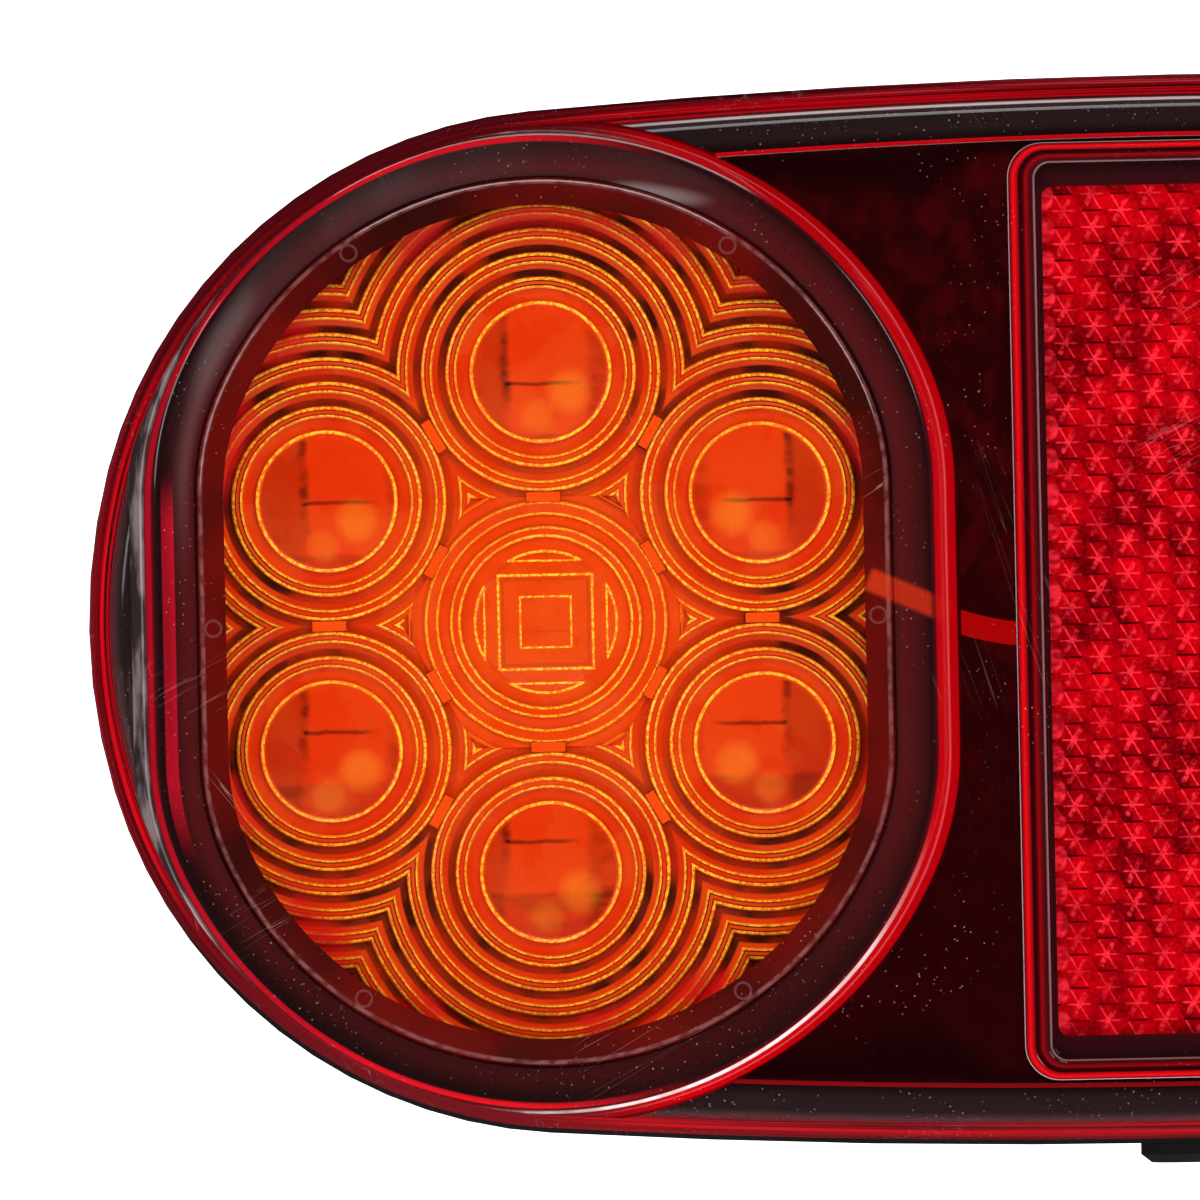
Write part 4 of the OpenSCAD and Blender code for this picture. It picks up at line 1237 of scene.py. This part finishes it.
def module_cap(side, name, finish, slot, node):
    """A closed shell. Its front and its inside each end in a fan of triangles round one middle point."""
    section = CAP_FRONT + CAP_INSIDE
    middle = (side * MODULE_X, 0)
    verts, bands = stacked(section, lambda outset: kept_in(module_outline(outset) + middle, CAP_EDGE))
    n = len(verts) // len(section)
    crown, bottom = len(verts), len(verts) + 1
    verts += [p for h in (CAP_CROWN_H, CAP_INNER_H) for p in to_metres([middle], h)]
    front, back = (len(CAP_FRONT) - 1) * n, len(CAP_FRONT) * n
    faces = [f for f in skin(n, len(section), closed=True) if not (front <= f[0] < front + n)]
    faces += [(front + i, front + (i + 1) % n, crown) for i in range(n)]
    faces += [(back + (i + 1) % n, back + i, bottom) for i in range(n)]
    return piece(name, verts, faces, finish, slot, 30, [node], band=bands + [1.0, 1.0])


caps = [module_cap(-1, "turn_cap", amber_cap, "amber_lens", "turn_lens"),
        module_cap(1, "stop_cap", red_cap, "red_cap", "stop_lens")]
print("caps", [len(c.data.polygons) for c in caps], "faces")

# %% [markdown]
# ## Reflector cells
# A reflex reflector is a sheet of corner cubes: each cell is three square facets that meet at a point, seen
# as a hexagon, and sends light back where it came from. A bump pattern would look flat from the side. So
# one cell is modelled as a closed hexagon pin with a few faces, and Geometry Nodes sets it on a lattice.

# %% One cell
CELL, PIN, CELL_DEPTH, RIM_DEPTH = 3.13, 1.5, 1.15, 0.55


def corner_cube():
    """One hexagon pin: a sunk middle with three facets, six sides and a back. `cell` keeps each place."""
    r = CELL / math.sqrt(3)
    rim = [(r * math.cos(math.radians(60 * k)), r * math.sin(math.radians(60 * k))) for k in range(6)]
    verts = [(0, CELL_DEPTH, 0)] + [(x, RIM_DEPTH * (k % 2), z) for k, (x, z) in enumerate(rim)]
    verts += [(x, PIN, z) for x, z in rim]
    faces = [(0, 1, 2, 3), (0, 3, 4, 5), (0, 5, 6, 1), (12, 11, 10, 9, 8, 7)]
    faces += [(1 + (k + 1) % 6, 1 + k, 7 + k, 7 + (k + 1) % 6) for k in range(6)]
    return model("cell.model", verts, faces, cell=[(x, z, 0) for x, _, z in verts])


def reflector_finish():
    """Each cell has a painted star reflection of bright arms, dark seams and facets painted lit and shaded.
    Cut cells at the rim get painted light.
    """
    f = Finish("red_corner_cubes")
    x, z, _ = f.parts("cell")
    r = (x * x + z * z) ** 0.5
    grain = f.noise(2400.0, 2.0).ramp(0.35, 0.65)
    level = abs(z).ramp(0.12, 0.04) * r.ramp(1.25, 0.9)
    thick = abs(x * 0.866 - z * 0.5).ramp(0.30, 0.14) * r.ramp(1.35, 1.1) * (0.25 + grain * 0.75)
    thin = abs(x * 0.866 + z * 0.5).ramp(0.12, 0.04) * r.ramp(1.75, 1.5)
    star_reflection = (level + thick * 0.8 + thin + r.ramp(0.35, 0.15) * 0.4).least(1.0) * (0.5 + grain * 0.5)
    seam = abs(abs(z) - CELL / 2).ramp(0.15, 0.04) * abs(x).ramp(1.3, 1.0)
    turned = f.noise(330.0, 1.0).ramp(0.35, 0.65)
    facet = (x.ramp(-0.15, 0.15) * 0.5 + z.ramp(-0.2, 0.2) * 0.3) * turned
    cloud = f.noise(170.0, 3.0, seed=6.0).ramp(0.36, 0.64)
    # painted light and shade across the facets, varied from cell to cell and by noise
    lit = f.attribute("shade") * 0.12 + facet * 0.38 + grain * 0.22 + cloud * 0.38
    lit = (lit - abs(x + z * 0.577).ramp(0.5, 1.4) * 0.12).least(1.0)
    across, up = f.place()
    # painted light on the cut cells at the rim
    cut = ((abs(across) - 12.5) ** 2 * 2.0 + ((up + 50.0) % CELL - CELL / 2) ** 2 * 0.8).ramp(1.5, 0.5)
    cut = cut * (0.2 + f.noise(900.0, 2.0, (0.5, 1, 1.6)).ramp(0.4, 0.62) * 0.8)
    colour = f.paint((84, 0, 5), (lit, (204, 3, 15)), (seam * (0.6 + turned * 0.4), (34, 0, 3)),
                     (star_reflection * (0.35 + turned * 0.55), (246, 50, 66)), (cut, (240, 40, 56)),
                     (wear(f, 0.3, 0.3) * 0.5, (240, 130, 130)))
    # a faint painted glow in its own colour
    return f.done(f.plastic(colour, 0.25, IOR=1.49, Specular_IOR_Level=0.0, Emission_Color=colour,
                            Emission_Strength=0.2))


print("a cell is", CELL, "mm across its flats and", PIN, "mm deep")

# %% Lattice of cells
CELL_H, CELL_SHIFT, CELLS_Z, CELL_SEED = 28.2, 0.3, 42.4, 4


def lattice_tree(finish):
    """Points moved to their steps in the lattice, with one cell and one random number, `shade`, on each."""
    t = Repeat("cell_lattice")
    piece_in = t.input("Cell", "NodeSocketObject")
    seed = t.input("Seed", "NodeSocketInt", CELL_SEED)
    pitch = t.input("Pitch", "NodeSocketFloat", CELL * MM)
    info = t.add("GeometryNodeObjectInfo", {}, {"Object": piece_in})
    step = t.named("step", "FLOAT_VECTOR")
    scaled = t.add("ShaderNodeVectorMath", {"operation": "SCALE"}, {0: step, "Scale": pitch}).outputs[0]
    moved = t.add("GeometryNodeSetPosition", {}, {"Geometry": t.inlet.outputs["Points"], "Offset": scaled})
    put = t.add("GeometryNodeInstanceOnPoints", {},
                {"Points": moved.outputs[0], "Instance": info.outputs["Geometry"]})
    chance = t.add("FunctionNodeRandomValue", {"data_type": "FLOAT"}, {"Seed": seed})
    stored = t.add("GeometryNodeStoreNamedAttribute", {"data_type": "FLOAT", "domain": "INSTANCE"},
                   {"Geometry": put.outputs[0], "Name": "shade", "Value": chance.outputs[1]})
    t.finish(stored.outputs[0], finish)
    return t


def reflector_cells():
    # every second column lies half a cell higher
    steps = [(i * math.cos(math.radians(30)), 0, j + i % 2 / 2) for i in range(-5, 6) for j in range(-14, 14)]
    steps = [s for s in steps if abs(s[2]) * CELL < CELLS_Z]
    points = bpy.data.meshes.new("cell_points")
    points.from_pydata([(0, -CELL_H * MM, CELL_SHIFT * MM)] * len(steps), [], [])
    keep(points, "step", steps)
    cell = corner_cube()
    made = grow(lattice_tree(reflector_finish()), "reflector_cells", points,
                {"Cell": cell, "Seed": CELL_SEED, "Pitch": CELL * MM}, ["reflex_reflector"])
    bpy.data.objects.remove(cell)
    return made


cells = reflector_cells()
print("reflector cells", len(cells.data.polygons) // 10)

# %% [markdown]
# ## Black plastic, rubber, metal and the boards
# The tray, the pads, the leads and the metal pieces keep their CAD meshes and only need finishes. Scanned
# textures would need picture files, so each finish is worked out from noise: moulded plastic has a fine
# even grain, zinc has soft cloudy patches, foam has open cells, and resistors have bands.

# %% Finishes for the CAD pieces
def moulded(name, colour, worn, roughness=0.45, scale=900.0, depth=0.00012, glow=0.0):
    f = Finish(name)
    cloud = f.noise(35.0, 3.0).ramp(0.3, 0.7)
    scuffs = f.noise(120.0, 2.0, (8, 1, 0.5)).line(0.5, 0.008) * f.noise(30.0, 1.0).ramp(0.5, 0.7)
    base = f.paint(colour, (cloud * 0.5, worn))
    base = f.mix(scuffs * 0.4, base, tuple(min(1.0, c * 4 + 0.05) for c in tint(*colour)))
    grain = f.bump(f.noise(scale, 3.0), depth, 0.5)
    return f.done(f.plastic(base, roughness + cloud * 0.12, Normal=grain, Emission_Color=base,
                            Emission_Strength=glow))


def zinc(name, colour, pale):
    f = Finish(name)
    spangle = f.noise(260.0, 3.0).ramp(0.35, 0.65)
    turned = f.bump(f.noise(700.0, 2.0, (0.2, 6, 0.2)), 0.00008, 0.4)
    base = f.paint(colour, (spangle, pale))
    return f.done(f.plastic(base, 0.25 + spangle * 0.15, Metallic=1.0, Normal=turned))


def foam(name):
    f = Finish(name)
    cell = f.cells(1600.0)
    return f.done(f.plastic(f.paint((26, 26, 27), (cell.ramp(0.1, 0.6), (60, 60, 62))), 0.9,
                            Normal=f.bump(cell, 0.0003, 0.8)))


def printed_board(name):
    f = Finish(name)
    weave = f.bump(f.noise(800.0, 2.0, (1, 1, 5)) * f.noise(800.0, 2.0, (5, 1, 1)), 0.0001, 0.4)
    tracks = f.noise(55.0, 0.0).line(0.5, 0.03) * 0.4
    return f.done(f.plastic(f.paint((214, 214, 206), (tracks, (176, 180, 170))), 0.4, Normal=weave))


def banded(name, colour, stripe):
    f = Finish(name)
    x, _ = f.place()
    rings = f.paint(colour, ((x % 1.3).line(0.4, 0.2), stripe))
    return f.done(f.plastic(rings, 0.35, Normal=f.bump(f.noise(900.0, 2.0), 0.00008, 0.3)))


def lead(name, colour, worn, glow=0.0):
    return moulded(name, colour, worn, 0.35, 500.0, 0.0001, glow)


print("finishes for plastic, zinc, foam, boards, bands and leads")

# %% Dress the CAD pieces
DRESS = [
    (moulded("black_moulded", (22, 22, 24), (34, 34, 36)), "base_housing"),
    (foam("closed_cell_foam"), "foam_gasket"),
    (moulded("bonding_bead", (190, 188, 180), (214, 212, 204), 0.35, 300.0, 0.0003), "sealant_bead"),
    (moulded("dark_shroud", (52, 12, 12), (34, 10, 11), 0.4), "turn_bezel stop_bezel"),
    (printed_board("white_board"), "turn_led_board stop_led_board"),
    (moulded("led_epoxy", (236, 226, 190), (220, 206, 160), 0.12, 700.0, 0.00004), "turn_leds stop_leds"),
    (banded("banded_resistor", (206, 182, 132), (130, 60, 36)), "turn_resistors stop_resistors"),
    (banded("banded_diode", (30, 30, 31), (180, 180, 178)), "polarity_diodes"),
    (zinc("bright_zinc", (176, 178, 182), (206, 207, 208)),
     "turn_board_screws stop_board_screws terminal_screws stud_left stud_right"),
    (zinc("brass_clamp", (186, 148, 74), (214, 178, 100)), "terminal_clamps"),
    (moulded("white_moulded", (218, 216, 208), (200, 198, 190), 0.4), "reflector_backing terminal_block"),
    # the red lead has a painted glow, so that it shows bright through the dark lens
    (lead("red_lead", (226, 46, 20), (206, 30, 18), glow=1.5), "turn_feed_wire"),
    (lead("white_lead", (150, 148, 142), (132, 130, 124)), "turn_earth_wire stop_earth_wire"),
    (lead("green_lead", (38, 128, 60), (28, 104, 50)), "stop_feed_wire"),
    (lead("brown_lead", (104, 66, 40), (84, 52, 32)), "tail_feed_wire"),
    (moulded("soft_rubber", (20, 20, 21), (38, 38, 39), 0.7, 500.0, 0.0002), "cable_grommet"),
    (moulded("grey_plug", (58, 59, 62), (74, 75, 78)), "vent_plug")]
for finish, names in DRESS:
    for name in names.split():
        nodes[name].data.materials.clear()
        nodes[name].data.materials.append(finish)
print("dressed", sum(len(names.split()) for _, names in DRESS), "CAD pieces")
